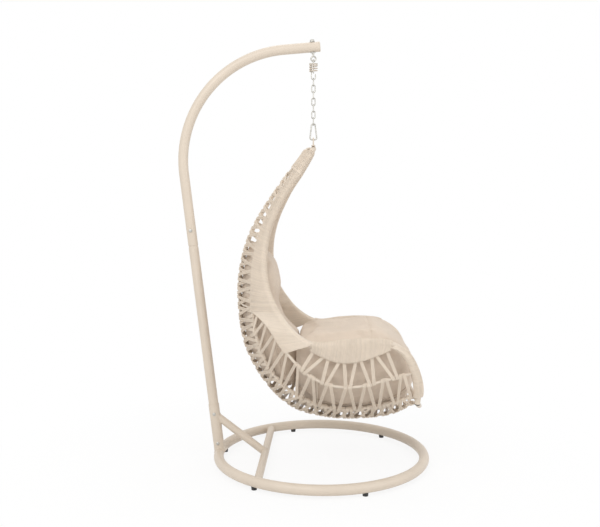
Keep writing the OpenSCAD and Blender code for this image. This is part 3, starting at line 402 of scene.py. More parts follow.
class Path:
    """A rod's centreline with places found by its length, height or reach."""

    def __init__(self, line):
        self.line = np.asarray(line, float)
        self.marks = np.concatenate([[0], np.cumsum(np.linalg.norm(np.diff(self.line, axis=0), axis=1))])
        self.long = self.marks[-1]

    def at(self, s):
        return np.array([np.interp(s, self.marks, self.line[:, k]) for k in range(3)])

    def heading(self, s):
        a, b = max(0, s - 0.002), min(self.long, s + 0.002)
        return unit(self.at(b) - self.at(a))

    def at_z(self, z):
        k = int(np.argmax(self.line[:, 2] <= z))
        a, b = self.line[k - 1][2], self.line[k][2]
        return self.marks[k - 1] + (a - z) / (a - b) * (self.marks[k] - self.marks[k - 1])

    def at_x(self, x):
        k = int(np.nonzero(self.line[:-1, 0] <= x)[0].max())
        a, b = self.line[k][0], self.line[k + 1][0]
        return self.marks[k] + (x - a) / (b - a) * (self.marks[k + 1] - self.marks[k])

    def spread(self, start, end, count):
        return np.array([self.at(s) for s in np.linspace(start, end, count)])

    def side(self, side):
        return Path(self.line * (1, side, 1))

    def off(self, s, direction, by):
        along = self.heading(s)
        d = np.asarray(direction, float)
        return self.at(s) + unit(d - d.dot(along) * along) * by


RIM, ROD, RIB, RAIL, WRAP = 0.0125, 0.006, 0.004, 0.010, 0.006
SIDE_END, RAIL_END, HOOP_END = 0.026, 0.014, 0.150


def lay_paths():
    """The left half's centrelines."""
    p = {}
    p["rim"] = rim = Path(smooth(points(
        (0, 0, 0), (-7, 19, -12), (-22, 33, -40), (-62, 62, -105), (-122, 100, -195), (-188, 146, -340),
        (-211, 184, -475), (-196, 234, -612), (-140, 292, -722), (-65, 330, -802), (15, 344, -842),
        (125, 346, -832), (235, 341, -826), (330, 330, -836), (393, 316, -876), (437, 298, -958),
        (455, 284, -1035), (451, 270, -1102))))
    start = rim.off(rim.at_z(-0.092), (-0.86, -0.2, 0.46), RIM + 0.001 + ROD)
    p["side"] = side = Path(smooth(np.vstack([[start], points(
        (-182, 106, -268), (-245, 152, -440), (-262, 192, -620), (-247, 202, -820), (-178, 202, -985),
        (-60, 200, -1092), (95, 198, -1146), (240, 202, -1140), (350, 222, -1112)),
        [rim.off(rim.long - SIDE_END, (-1, -0.42, 0), RIM + gap) for gap in (0.010, 0)]])))
    rail_ends = [rim.off(rim.long - RAIL_END, (0.1, -1, 0), RIM + gap) for gap in (-0.002, 0.014)]
    rail = smooth(np.vstack([rail_ends, points((461, 194, -1122), (481, 100, -1156), (486, 0, -1168))]))
    p["rail"] = Path(np.vstack([rail, mirrored(rail)[-2::-1]]))
    p["spine"] = Path(smooth(points(
        (-11, 0, 0), (-25, 0, 0), (-64, 0, -50), (-142, 0, -152), (-281, 0, -372), (-333, 0, -550),
        (-339, 0, -720), (-306, 0, -908), (-211, 0, -1078), (-90, 0, -1187), (60, 0, -1229),
        (200, 0, -1235), (360, 0, -1215), (463.8, 0, -1168), (477, 0, -1168))))
    starts = [side.off(side.at_z(-0.722), (0.7, 0.7, 0), ROD + gap) for gap in (-0.001, 0.006)]
    ends = [rim.off(rim.long - HOOP_END, (-1, 0.28, 0), RIM + gap) for gap in (0.010, -0.001)]
    p["hoop"] = Path(smooth(np.vstack([starts, points(
        (-183, 292, -770), (-138, 316, -832), (-88, 330, -896), (-15, 336, -968), (85, 336, -1012),
        (195, 336, -1016), (300, 330, -992)), ends])))
    arm_from, arm_to = rim.at_x(0.002), Path(rim.line[:-60]).at_x(0.335)
    p["arm"] = (arm_from, arm_to)
    p["arm_rail"] = Path(smooth(np.vstack([[rim.off(arm_from, (0, 0, -1), RIM + ROD)], points(
        (70, 347, -892), (140, 348, -906), (215, 344, -896), (285, 336, -872)),
        [rim.off(arm_to, (0, 0, -1), RIM + ROD)]])))
    return p


PATHS = lay_paths()


def paths(names):
    return [PATHS[name] for name in names.split()]


# --- Meshes ---
def add_mesh(name, mesh):
    ob = bpy.data.objects.new(name, mesh)
    bpy.context.scene.collection.objects.link(ob)
    return ob


def mesh_of(bm, name):
    mesh = bpy.data.meshes.new(name)
    bm.to_mesh(mesh)
    bm.free()
    return mesh


def wires(name, lines, closed=False, **attributes):
    """A mesh of open polylines, for the trees that lay rod and cord along them."""
    verts, edges = [], []
    for line in lines:
        k = len(verts)
        verts += [tuple(v) for v in line]
        edges += [(k + i, k + i + 1) for i in range(len(line) - 1)]
        if closed:
            edges.append((k + len(line) - 1, k))
    mesh = bpy.data.meshes.new(name)
    mesh.from_pydata(verts, edges, [])
    for key, values in attributes.items():
        mesh.attributes.new(key, "FLOAT", "POINT").data.foreach_set("value", np.asarray(values, np.float32))
    return mesh


def made_mesh(ob, **more):
    """The plain mesh that a piece's modifiers make. They are taken off."""
    view = bpy.context.evaluated_depsgraph_get()
    made = bpy.data.meshes.new_from_object(ob.evaluated_get(view), depsgraph=view, **more)
    ob.modifiers.clear()
    return made


def grow(name, mesh, tree, **inputs):
    """The plain mesh that a tree makes of a mesh, as a new object."""
    ob = add_mesh(name, mesh)
    live = ob.modifiers.new("grow", "NODES")
    live.node_group = tree
    inputs = spaced(inputs)
    for item in tree.interface.items_tree:
        if item.item_type == "SOCKET" and item.in_out == "INPUT" and item.name in inputs:
            live[item.identifier] = inputs[item.name]
    ob.data = made_mesh(ob, preserve_all_data_layers=True)
    ob.data.name = name
    return ob


def tree_with(name, **sockets):
    """A tree with these inputs, and what comes out of each."""
    tree = bpy.data.node_groups.new(name, "GeometryNodeTree")
    sockets = spaced(sockets)
    for label, kind in sockets.items():
        tree.interface.new_socket(label, in_out="INPUT", socket_type=f"NodeSocket{kind}")
    tree.interface.new_socket("Geometry", in_out="OUTPUT", socket_type="NodeSocketGeometry")
    g = Graph(tree)
    start = g.add("NodeGroupInput")
    return g, {label: start.flow(i) for i, label in enumerate(sockets)}


def sheathe(g, curve, radius, sides, material):
    """Cord or rod along curves, with the place along it and round it kept for its finish."""
    ring = g.geo("CurvePrimitiveCircle", {"mode": "RADIUS"}, Resolution=sides, Radius=radius)
    step = g.geo("InputIndex") / sides * (2 * pi)
    round_it = g.add("ShaderNodeCombineXYZ", {}, {0: step.do("cosine"), 1: step.do("sine")})
    ring = g.store(ring, "around", round_it, "FLOAT_VECTOR")
    curve = g.store(curve, "along", g.add("GeometryNodeSplineParameter").flow("Length"))
    skin = g.geo("CurveToMesh", Curve=curve, Profile_Curve=ring, Fill_Caps=True)
    skin = g.geo("SetShadeSmooth", Geometry=skin, Shade_Smooth=True)
    skin = g.geo("RealizeInstances", Geometry=skin)
    return g.geo("SetMaterial", Geometry=skin, Material=material)


def finish_tree(g, geometry):
    g.add("NodeGroupOutput", {}, {"Geometry": geometry})
    return g.tree


def rod_tree():
    """Round rod or cord along each polyline."""
    g, given = tree_with("Rod along a path", Path="Geometry", Radius="Float", Sides="Int",
                         Material="Material")
    curve = g.geo("MeshToCurve", Mesh=given["Path"])
    return finish_tree(g, sheathe(g, curve, given["Radius"], given["Sides"], given["Material"]))


def winding_tree():
    """Cord wound turn against turn round two rods that lie beside each other."""
    g, given = tree_with(
        "Cord wound round two rods", First_Rod="Geometry", Second_Rod="Object",
        First_Radius="Float", Second_Radius="Float", Cord_Radius="Float",
        Turns="Int", Steps="Int", Sides="Int", Material="Material")
    first = g.geo("MeshToCurve", Mesh=given["First Rod"])
    own_place = {"transform_space": "ORIGINAL"}
    other = g.add("GeometryNodeObjectInfo", own_place, {"Object": given["Second Rod"]}).flow("Geometry")
    second = g.geo("MeshToCurve", Mesh=other)
    total = given["Turns"] * given["Steps"]
    line = g.geo("MeshLine", {"mode": "OFFSET"}, Count=total + 1)
    index = g.geo("InputIndex")
    share = index / total
    turned = index / given["Steps"]
    quarter = turned.do("fract") * 4.0

    def sample(curve):
        return g.add("GeometryNodeSampleCurve", {"mode": "FACTOR", "use_all_curves": True}, {
            "Curves": curve, "Factor": share})

    here, there = sample(first), sample(second)
    a, b, tangent = here.flow("Position"), there.flow("Position"), here.flow("Tangent")
    across = (b - a).do("normalize")
    normal = tangent.do("cross_product", across).do("normalize")
    inward = given["First Radius"] + given["Cord Radius"]
    outward = given["Second Radius"] + given["Cord Radius"]
    near = (quarter.clamp() * (quarter < 2.5) - 0.5) * pi
    far = ((quarter - 2.0).clamp() - 0.5) * pi
    on_first = a - across * (near.do("cosine") * inward) + normal * (near.do("sine") * inward)
    on_second = b + across * (far.do("cosine") * outward) - normal * (far.do("sine") * outward)
    weight = (quarter - 1.0).clamp() - (quarter - 3.0).clamp()
    place = on_first + (on_second - on_first) * weight
    line = g.geo("SetPosition", Geometry=line, Position=place)
    each = g.add("FunctionNodeRandomValue", {"data_type": "FLOAT"}, {
        "ID": turned.do("floor"), "Seed": 7}).flow("Value")
    curve = g.store(g.geo("MeshToCurve", Mesh=line), "turn", each)
    return finish_tree(g, sheathe(g, curve, given["Cord Radius"], given["Sides"], given["Material"]))


def kept(name, maker):
    """A tree or material that is made once and used again."""
    found = bpy.data.node_groups.get(name) or bpy.data.materials.get(name)
    return found or maker()


def rod_along(name, mesh, radius, sides, material):
    tree = kept("Rod along a path", rod_tree)
    return grow(name, mesh, tree, Radius=radius, Sides=sides, Material=material)


def paint(names, material):
    for name in names:
        slots = NODES[name].data.materials
        slots.clear()
        slots.append(material)


def settle(ob, body, slot, *nodes):
    """Puts a finished piece on its body, in place of its nodes."""
    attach(ob, body)
    if nodes:
        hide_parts(*nodes)


def steel():
    return bpy.context.scene.egg_chair_steel


def coat():
    return kept("powder_coat", lambda: powder_coat(tuple(steel().coat), steel().coat_rough))


def cord_finish():
    return kept("woven_cord", lambda: woven_cord(tuple(bpy.context.scene.egg_chair_rope.colour)))


def bead_tree():
    """Weld bead along closed lines, rippled as it was laid."""
    g, given = tree_with("Weld bead along a line", Path="Geometry", Radius="Float", Ripple="Float",
                         Sides="Int", Material="Material")
    curve = g.geo("MeshToCurve", Mesh=given["Path"])
    skin = sheathe(g, curve, given["Radius"], given["Sides"], given["Material"])
    far = g.geo("InputNamedAttribute", {"data_type": "FLOAT"}, Name="along")
    depth = given["Radius"] * 0.16
    out = g.geo("InputNormal") * ((far / given["Ripple"] * (2 * pi)).do("sine") * depth)
    return finish_tree(g, g.geo("SetPosition", Geometry=skin, Offset=out))


def across(way):
    """Two directions square to one."""
    first = unit(np.cross(way, (0, 1, 0) if abs(way[1]) < 0.9 else (1, 0, 0)))
    return first, np.cross(way, first)


def tube_lines(start, way, radius, count=48):
    """Lines that run along a tube's surface."""
    a, b = across(np.asarray(way, float))
    turns = [2 * pi * i / count for i in range(count)]
    return [np.asarray(start) + radius * (cos(t) * a + sin(t) * b) for t in turns]


def meet(starts, way, reach, clear):
    """Where lines along a tube come against another surface, or pass closest to it."""
    samples, halvings = 90, 14
    steps = np.linspace(0, reach, samples)
    found = []
    for start in starts:
        room = np.array([clear(start + way * s) for s in steps])
        inside = room <= 0
        first = int(inside.argmax()) if inside.any() else int(room.argmin())
        low, high = steps[max(0, first - 1)], steps[first]
        for _ in range(halvings * bool(inside.any())):
            mid = (low + high) / 2
            low, high = (low, mid) if clear(start + way * mid) <= 0 else (mid, high)
        found.append(start + way * high)
    return np.array(found)


def weld(name, lines, body):
    mesh = wires(name, lines, closed=True)
    ob = grow(name, mesh, kept("Weld bead along a line", bead_tree),
              Radius=steel().weld / 2, Ripple=0.0042, Sides=8, Material=coat())
    settle(ob, body, "beige_coat")


def collar(path, s, radius):
    """Ring round a rod where it ends against another."""
    return np.array(tube_lines(APEX + path.at(s), path.heading(s), radius, 24))


def rod_piece(name, line, radius, node, sides=20):
    """One of the basket's rods, in place of its node."""
    settle(rod_along(name, wires(name, [APEX + line]), radius, sides, coat()), "basket", "beige_coat", node)


# --- Operators ---
class Builder:
    bl_options = {"REGISTER", "UNDO"}

    def execute(self, context):
        self.build(context.scene)
        return {"FINISHED"}


class EGGCHAIR_OT_coat_stand(Builder, bpy.types.Operator):
    """Coat the stand's tubes and lay the weld beads"""
    bl_idname = "egg_chair.coat_stand"
    bl_label = "Coat Stand"

    def build(self, scene):
        paint(COATED, coat())
        lean = np.array([-sin(LEAN), 0.0, cos(LEAN)])
        root = np.array([RING_X - RING_R, 0.0, RING_Z])
        bar = np.array([RING_X - BAR_BACK, 0.0, RING_Z])
        head = root + BRACE_AT * lean
        down = unit(bar - head)
        middle = (bar + head) / 2

        def off_ring(p):
            past_ring = sqrt((p[0] - RING_X) ** 2 + p[1] ** 2) - RING_R
            return sqrt(past_ring ** 2 + (p[2] - RING_Z) ** 2) - TUBE_R

        def off_bar(p):
            return sqrt((p[0] - bar[0]) ** 2 + (p[2] - bar[2]) ** 2) - BAR_R

        def off_socket(p):
            return np.linalg.norm(np.cross(p - root, lean)) - SOCKET_R

        aside = np.array([0.0, 1.0, 0.0])
        bar_reach, brace_reach = 0.45, 0.2
        ends = (
            (bar, aside, BAR_R, bar_reach, off_ring), (bar, -aside, BAR_R, bar_reach, off_ring),
            (middle, down, BAR_R, brace_reach, off_bar), (middle, -down, BAR_R, brace_reach, off_socket),
            (root + SOCKET_LONG * lean, -lean, SOCKET_R, SOCKET_LONG, off_ring))
        lines = [meet(tube_lines(start, way, r), way, reach, clear) for start, way, r, reach, clear in ends]
        weld("stand_welds", lines, "stand")


class EGGCHAIR_OT_plate_fittings(Builder, bpy.types.Operator):
    """Plate the bolts, chain, pulls and snap hook, and finish the feet and end caps"""
    bl_idname = "egg_chair.plate_fittings"
    bl_label = "Plate Fittings"

    def build(self, scene):
        zinc = zinc_plate(tuple(steel().zinc))
        paint(FASTENERS + HANGERS + CHAIN, zinc)
        paint(PLASTIC, black_plastic(tuple(steel().plastic)))


class EGGCHAIR_OT_coil_spring(Builder, bpy.types.Operator):
    """Wind the coil spring with closed ends"""
    bl_idname = "egg_chair.coil_spring"
    bl_label = "Coil Spring"

    def build(self, scene):
        low, high, wire, coil = 1.78994, 1.82354, 0.0025, 0.017
        flat, turns, steps = 0.5, 2.75, 120
        line = []
        for i in range(steps + 1):
            t = (turns + 2 * flat) * i / steps
            lift = min(max((t - flat) / turns, 0.0), 1.0)
            z = low + wire + (high - low - 2 * wire) * lift
            line.append((HANG_X + coil * cos(2 * pi * t + pi / 2), coil * sin(2 * pi * t + pi / 2), z))
        finish = powder_coat(shade(steel().coat, 0.93), 0.34, "spring_coat")
        ob = rod_along("coil_spring", wires("coil_spring", [line]), wire, 12, finish)
        settle(ob, "spring_top", "spring_steel", "spring_coil")
        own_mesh(ob)


class EGGCHAIR_OT_bend_basket(Builder, bpy.types.Operator):
    """Bend the basket's rim tube, rods, ribs and rail"""
    bl_idname = "egg_chair.bend_basket"
    bl_label = "Bend Basket Frame"

    def build(self, scene):
        rim, rail, spine, side, hoop = paths("rim rail spine side hoop")
        rod_piece("rim", np.vstack([mirrored(rim.line)[:0:-1], rim.line]), RIM, "rim_tube", sides=28)
        rod_piece("rail", rail.line, RAIL, "front_rail", sides=24)
        rod_piece("spine", spine.line, ROD, "spine_rod")
        for word, flip in SIDES:
            for name, key in (("side_rod", "side"), ("hoop", "hoop"), ("arm_rail", "arm_rail")):
                rod_piece(f"{word}_{name}_bar", PATHS[key].side(flip).line, ROD, f"{word}_{name}")
        back_z, side_z, spine_z, seat_x = -0.706, -0.985, -1.037, 0.02
        ribs = {
            "back_rib": ((0.1, 0, back_z), [
                (rim, rim.at_z(back_z), RIM - RIB), (side, side.at_z(back_z), ROD),
                (spine, spine.at_z(back_z), ROD)]),
            "lower_rib": ((0.06, 0, -0.760), [
                (side, side.at_z(side_z), ROD), (spine, spine.at_z(spine_z), ROD)]),
            "seat_rib": ((seat_x, 0, -0.8), [(path, path.at_x(seat_x), ROD) for path in (hoop, side, spine)]),
        }
        for name, (middle, holds) in ribs.items():
            rod_piece(f"{name}_wire", self.rib(middle, holds), RIB, name, sides=14)

        bead, inset = 0.001, 0.003
        rings = []
        for _, flip in SIDES:
            for key, tail in (("side", 0.002), ("hoop", 0.002), ("arm_rail", 0.001)):
                path = PATHS[key].side(flip)
                rings += [collar(path, s, ROD + 0.0008) for s in (0.001, path.long - tail)]
        rings += [collar(rail, s, RAIL + bead) for s in (inset, rail.long - inset)]
        rings.append(collar(spine, spine.long - 0.002, ROD + bead))
        plate_gap, plate = 0.0002, 0.003
        top, wire = APEX[2] + RIM + plate_gap + plate, 0.0032
        rings += [np.array(tube_lines((HANG_X, y, top), (0, 0, 1), wire, 20)) for y in (-0.010, 0.010)]
        weld("basket_welds", rings, "basket")

    def rib(self, middle, holds):
        """A wire that bears on the rods' inner sides, towards a middle."""
        half = [path.off(s, np.array(middle) - path.at(s), r + RIB) for path, s, r in holds]
        return smooth(half + [mirrored(p) for p in half[-2::-1]], 6)


class EGGCHAIR_OT_wind_wraps(Builder, bpy.types.Operator):
    """Wind the cord turn against turn round the rim, the shoulders, the arms and the posts"""
    bl_idname = "egg_chair.wind_wraps"
    bl_label = "Wind Rim Wraps"

    def build(self, scene):
        rim, side, hoop, arm_rail, spine = paths("rim side hoop arm_rail spine")
        arm_from, arm_to = PATHS["arm"]
        shoulder = rim.at_z(-0.708)
        cord = scene.egg_chair_rope.cord_d
        bands = {
            "back_wrap": (rim, rim.at_z(-0.106), shoulder, RIM, side, 0.014, side.at_z(-0.718), ROD),
            "shoulder_wrap": (rim, shoulder, arm_from - 0.006, RIM, hoop, 0.002, hoop.at_x(-0.106), ROD),
            "arm_wrap": (rim, arm_from + 0.001, arm_to, RIM, arm_rail, 0.002, arm_rail.long - 0.001, ROD),
            "post_wrap": (rim, arm_to + 0.002, rim.long - 0.034, RIM + cord, rim, 0, 0, 0),
            "crown_wrap": (rim, rim.at_z(-0.014), rim.at_z(-0.112), RIM,
                           spine, spine.at_z(-0.008), spine.at_z(-0.088), ROD),
            "elbow_wrap": (rim, arm_from - 0.013, arm_from + 0.006, RIM, rim, 0, 0, 0),
        }
        samples, beside = 80, (-0.0012, 0, 0)
        for word, flip in SIDES:
            for name, (a, a0, a1, ra, b, b0, b1, rb) in bands.items():
                first = a.spread(a0, a1, samples) * (1, flip, 1)
                second = b.spread(b0, b1, samples) * (1, flip, 1) if rb else first + beside
                self.wind(cord, f"{word}_{name}", first, second, ra, rb or ra)

    def wind(self, cord, node, first, second, ra, rb):
        """Winds one cord round two lines, or round one rod whose second line lies close by."""
        long = max(Path(first).long, Path(second).long)
        guide = add_mesh(f"{node}_guide", wires("guide", [APEX + second]))
        tree = kept("Cord wound round two rods", winding_tree)
        ob = grow(f"{node}_cord", wires(node, [APEX + first]), tree, Second_Rod=guide, First_Radius=ra,
                  Second_Radius=rb, Cord_Radius=cord / 2, Turns=int(round(long / (cord * 1.02))),
                  Steps=20 if rb == ROD else 16, Sides=6, Material=cord_finish())
        bpy.data.objects.remove(guide)
        settle(ob, "basket", "rope", *[name for name in (node,) if name in NODES])


class EGGCHAIR_OT_lace_sides(Builder, bpy.types.Operator):
    """Lace the bands of cord between the rods"""
    bl_idname = "egg_chair.lace_sides"
    bl_label = "Lace Sides"

    def build(self, scene):
        side, hoop, arm_rail, spine = paths("side hoop arm_rail spine")
        all_wrapped = -9.0
        hoop_wrapped = hoop.at(hoop.at_x(-0.110))[2] - 0.013
        runs = {
            "arm_lacing": (arm_rail, 0.006, arm_rail.long - 0.006,
                           hoop, hoop.at_x(-0.070), hoop.long - 0.030, all_wrapped),
            "side_lacing": (hoop, 0.020, hoop.long - 0.010,
                            side, side.at_z(-0.766), side.long - 0.008, hoop_wrapped),
            "back_lacing": (side, 0.070, side.long - 0.020, spine, 0.150, spine.long - 0.020, -0.719),
        }
        for word, flip in SIDES:
            for name, run in runs.items():
                self.lace(scene.egg_chair_rope, f"{word}_{name}", run, flip)

    def lace(self, rope, node, run, flip):
        """Bands of cord that go to and fro between two rods, and at the back also cross."""
        a, a0, a1, b, b0, b1, bare = run
        cord, width, pitch = rope.cord_d, rope.strands, 0.042
        long_a, long_b = a1 - a0, b1 - b0
        count = max(2, round((long_a + long_b) / (2 * pitch)))
        slack = 0.0018 + cord * width / 2
        rng = np.random.default_rng(11)
        strays = rng.uniform(-0.009, 0.009, (count + 1, 2))
        lifts = (0.0, rope.lift) if "back" in node else (0.0,)
        lines, turn = [], []
        for k, (layer, lift) in product(range(count), enumerate(lifts)):
            at_a, at_b, way = (k, k + 1, 1) if k % 2 == layer else (k + 1, k, -1)
            sa = a0 + long_a * at_a / count + way * slack + layer * strays[at_a][0]
            sb = b0 + long_b * at_b / count - way * slack + layer * strays[at_b][1]
            tone = rng.random()
            wrapped = a.at(sa)[2] > bare
            for j in range(width):
                offset = (j - (width - 1) / 2) * cord
                line = self.band((a, sa + offset, wrapped), (b, sb + offset), way, cord / 2, lift)
                lines.append(line * (1, flip, 1))
                turn += [0.5 * tone + 0.5 * rng.random()] * len(line)
        mesh = wires(node, [APEX + line for line in lines], turn=turn)
        ob = rod_along(f"{node}_cords", mesh, cord / 2, 6, cord_finish())
        settle(ob, "basket", "rope", node)

    def band(self, start, end, way, r, lift):
        """One cord: round the first rod, straight across on the outer side, round the second."""
        (a, sa, wrapped), (b, sb) = start, end
        across = unit(b.at(sb) - a.at(sa))
        out_a, out_b = self.outward(a, sa, across), self.outward(b, sb, across)
        on_wrap = [a.at(sa) + across * (ROD + WRAP - r)]
        turn_a = on_wrap if wrapped else self.turn(a, sa, across, out_a, ROD + r, -way)
        turn_b = self.turn(b, sb, -across, out_b, ROD + r, way)
        near, far = turn_a[-1], turn_b[-1]
        out = unit(out_a + out_b) * lift
        over = [near + (far - near) * t + out * sin(pi * t) for t in np.linspace(0.1, 0.9, 9)] if lift else []
        return np.array(turn_a + over + turn_b[::-1])

    def outward(self, path, s, across):
        """The way out of the basket, square to the rod and the cord."""
        n = unit(np.cross(across, path.heading(s)))
        middle = np.array([0.05, 0.0, -0.7])
        return n if n.dot(path.at(s) - middle) > 0 else -n

    def turn(self, path, s, across, out, r, way):
        """Points of a turn that starts behind the rod and leaves it on its outer side."""
        whole, steps, drift = radians(250), 8, 0.005
        t = path.heading(s)
        u = unit(across - across.dot(t) * t)
        n = unit(out - out.dot(t) * t - out.dot(u) * u)
        made = []
        for left in np.linspace(1, 0, steps + 1):
            place = path.at(s + way * drift * left)
            made.append(place + r * (cos(-whole * left) * n + sin(-whole * left) * u))
        return made


# --- Cushions ---
REST = 0.01615
SEAT_BACK, SEAT_LEN = -0.068, 0.5


def both_sides(low, half, high):
    """A closed section that is the same on its left and right."""
    return [low, *half, high, *[(x, -y, z) for x, y, z in half[::-1]]]


def seat_section(x, top, narrow):
    """The seat cushion across the basket: on the rods below, within the rim at its sides."""
    rim_room, corner, crown, flat = 0.034, 0.008, 0.046, 0.060
    rim, side, hoop, spine = paths("rim side hoop spine")
    s, r, h = spine.at(spine.at_x(x)), side.at(side.at_x(x)), hoop.at(min(hoop.at_x(x), hoop.long))
    w = rim.at(rim.at_x(max(x, 0)))[1] - rim_room - narrow
    return both_sides((x, 0, s[2] + REST * 0.4), [
        (x, r[1] * 0.414, s[2] * 0.55 + r[2] * 0.45 + REST * 0.6), (x, r[1] * 0.92 - narrow, r[2] + REST),
        (x, min(h[1] - REST, w) - corner, h[2] + REST * 0.6), (x, w, (h[2] + top) / 2),
        (x, w - corner, top - crown), (x, w - flat, top - corner)], (x, 0, top))


def back_section(z, t, narrow):
    """The back cushion across the basket, hollow behind so that it follows the rods."""
    rim_room, past_side, gap, deep, thin = 0.024, 0.006, 0.0003, 0.9, 0.032
    rim, side, spine = paths("rim side spine")
    s, r, m = spine.at(spine.at_z(z)), side.at(side.at_z(z)), rim.at(rim.at_z(z))
    back = s[0] + (REST - 0.001) / -spine.heading(spine.at_z(z))[2]
    front = min(back + t, SEAT_BACK - gap)
    room = (front - back - WRAP - thin) / deep * r[1] / (r[0] - s[0])
    w = min(m[1] - rim_room, r[1] + past_side, room) - narrow
    hollow = (r[0] - s[0]) * w / r[1]
    edge = back + deep * hollow + WRAP + gap
    return both_sides((back, 0, z), [
        (back + 0.45 * hollow, w * 0.45, z), (edge, w * 0.9, z), (edge + 0.4 * (front - edge), w, z),
        (edge + 0.8 * (front - edge), w * 0.86, z), (front - 0.004, w * 0.45, z)], (front, 0, z))


def seat_rings():
    xs = [0.004, 0.018, 0.08, 0.25, 0.42, 0.6, 0.78, 0.88, 0.955, 1.006]
    drops = [30, 25, 24, 21, 14, 5, 0, 24, 74, 122]
    rounding = [22, 8, 2, 0, 0, 0, 0, 4, 14, 26]
    crown = -0.792
    return [seat_section(SEAT_BACK + SEAT_LEN * x, crown - drop * MM, narrow * MM)
            for x, drop, narrow in zip(xs, drops, rounding)]


def back_rings():
    zs = [0, 0.021, 0.072, 0.18, 0.303, 0.433, 0.562, 0.664, 0.721, 0.8, 0.88, 0.95, 1]
    thick = [0.34, 0.46, 0.60, 0.87, 1.01, 0.92, 1.06, 2, 2, 2, 2, 2, 2]
    rounding = [40, 22, 8, 0, 0, 0, 4, 8, 8, 6, 4, 8, 16]
    head, long, full = -0.430, 0.632, 0.165
    return [back_section(head - long * z, full * share, narrow * MM)
            for z, share, narrow in zip(zs, thick, rounding)]


def filled(start, mesh, reach):
    """The mesh's points, none further than its reach from where it started."""
    old = np.array([v.co for v in start.vertices])
    new = np.array([v.co for v in mesh.vertices])
    move = new - old
    far = np.linalg.norm(move, axis=1, keepdims=True)
    return old + move * np.minimum(1.0, reach / np.maximum(far, 1e-9))


def near_tree(places):
    """Finds the nearest of some places."""
    tree = KDTree(len(places))
    for i, p in enumerate(places):
        tree.insert(Vector(p), i)
    tree.balance()
    return tree


def rumple(mesh, depth, scale):
    """Soft creases of a stuffed cover."""
    normals = [n.vector.copy() for n in mesh.vertex_normals]
    for v, n in zip(mesh.vertices, normals):
        broad = 1 - 2 * abs(noise.noise(v.co * scale))
        fine = noise.noise(v.co * scale * 2.7 + Vector((3.1, 0.0, 0.0)))
        v.co += n * depth * (0.7 * broad + 0.5 * fine - 0.3)


def press(mesh, is_seat):
    """Keeps a cushion off the rods and flat against the other cushion."""
    air, skin, samples = 0.0006, 0.0008, 700
    pairs = (("side", ROD), ("hoop", ROD), ("rim", RIM))
    rods = [(PATHS["spine"], ROD)] + [(PATHS[key].side(flip), r) for key, r in pairs for _, flip in SIDES]
    places = np.vstack([APEX + path.spread(0, path.long, samples) for path, _ in rods])
    room = np.repeat([r + WRAP + air for _, r in rods], samples)
    tree = near_tree(places)
    face = APEX[0] + SEAT_BACK
    top = APEX[2] - 0.80
    for v in mesh.vertices:
        place, i, far = tree.find(v.co)
        if far < room[i]:
            v.co = place + (v.co - place) * (room[i] / max(far, 1e-6))
        if is_seat:
            v.co.x = max(v.co.x, face + skin)
        elif v.co.z < top:
            v.co.x = min(v.co.x, face - skin)


def laid_on(mesh, line, lift):
    """A closed line of even steps that lies on a mesh."""
    step = 0.004
    loop = Path(np.vstack([line, line[:1]]))
    line = loop.spread(0, loop.long, int(loop.long / step))[:-1]
    skin = BVHTree.FromPolygons([v.co for v in mesh.vertices], [tuple(p.vertices) for p in mesh.polygons])
    for _ in range(3):
        for _ in range(6):
            line = (np.roll(line, 1, 0) + 2 * line + np.roll(line, -1, 0)) / 4
        hits = [skin.find_nearest(Vector(p)) for p in line]
        line = np.array([hit[0] for hit in hits])
    return line + np.array([hit[1] for hit in hits]) * lift


def sew(mesh, seams, depth, width, pucker):
    """Draws the cover in along its seams, with small puckers beside them."""
    fold_rate, bend_rate, swell_rate = 233.0, 41.0, 17.0
    marks = np.concatenate([Path(seam).marks for seam in seams])
    tree = near_tree(np.vstack(seams))
    normals = [n.vector.copy() for n in mesh.vertex_normals]
    for v, n in zip(mesh.vertices, normals):
        _, i, far = tree.find(v.co)
        if far > 8 * width:
            continue
        drawn = np.exp(-(far / width) ** 2)
        s = marks[i]
        fold = sin(s * fold_rate + 2.1 * sin(s * bend_rate)) * (0.6 + 0.4 * sin(s * swell_rate + 1.0))
        v.co += n * float(pucker * fold * np.exp(-(far / (4 * width)) ** 2) * (1 - drawn) - depth * drawn)


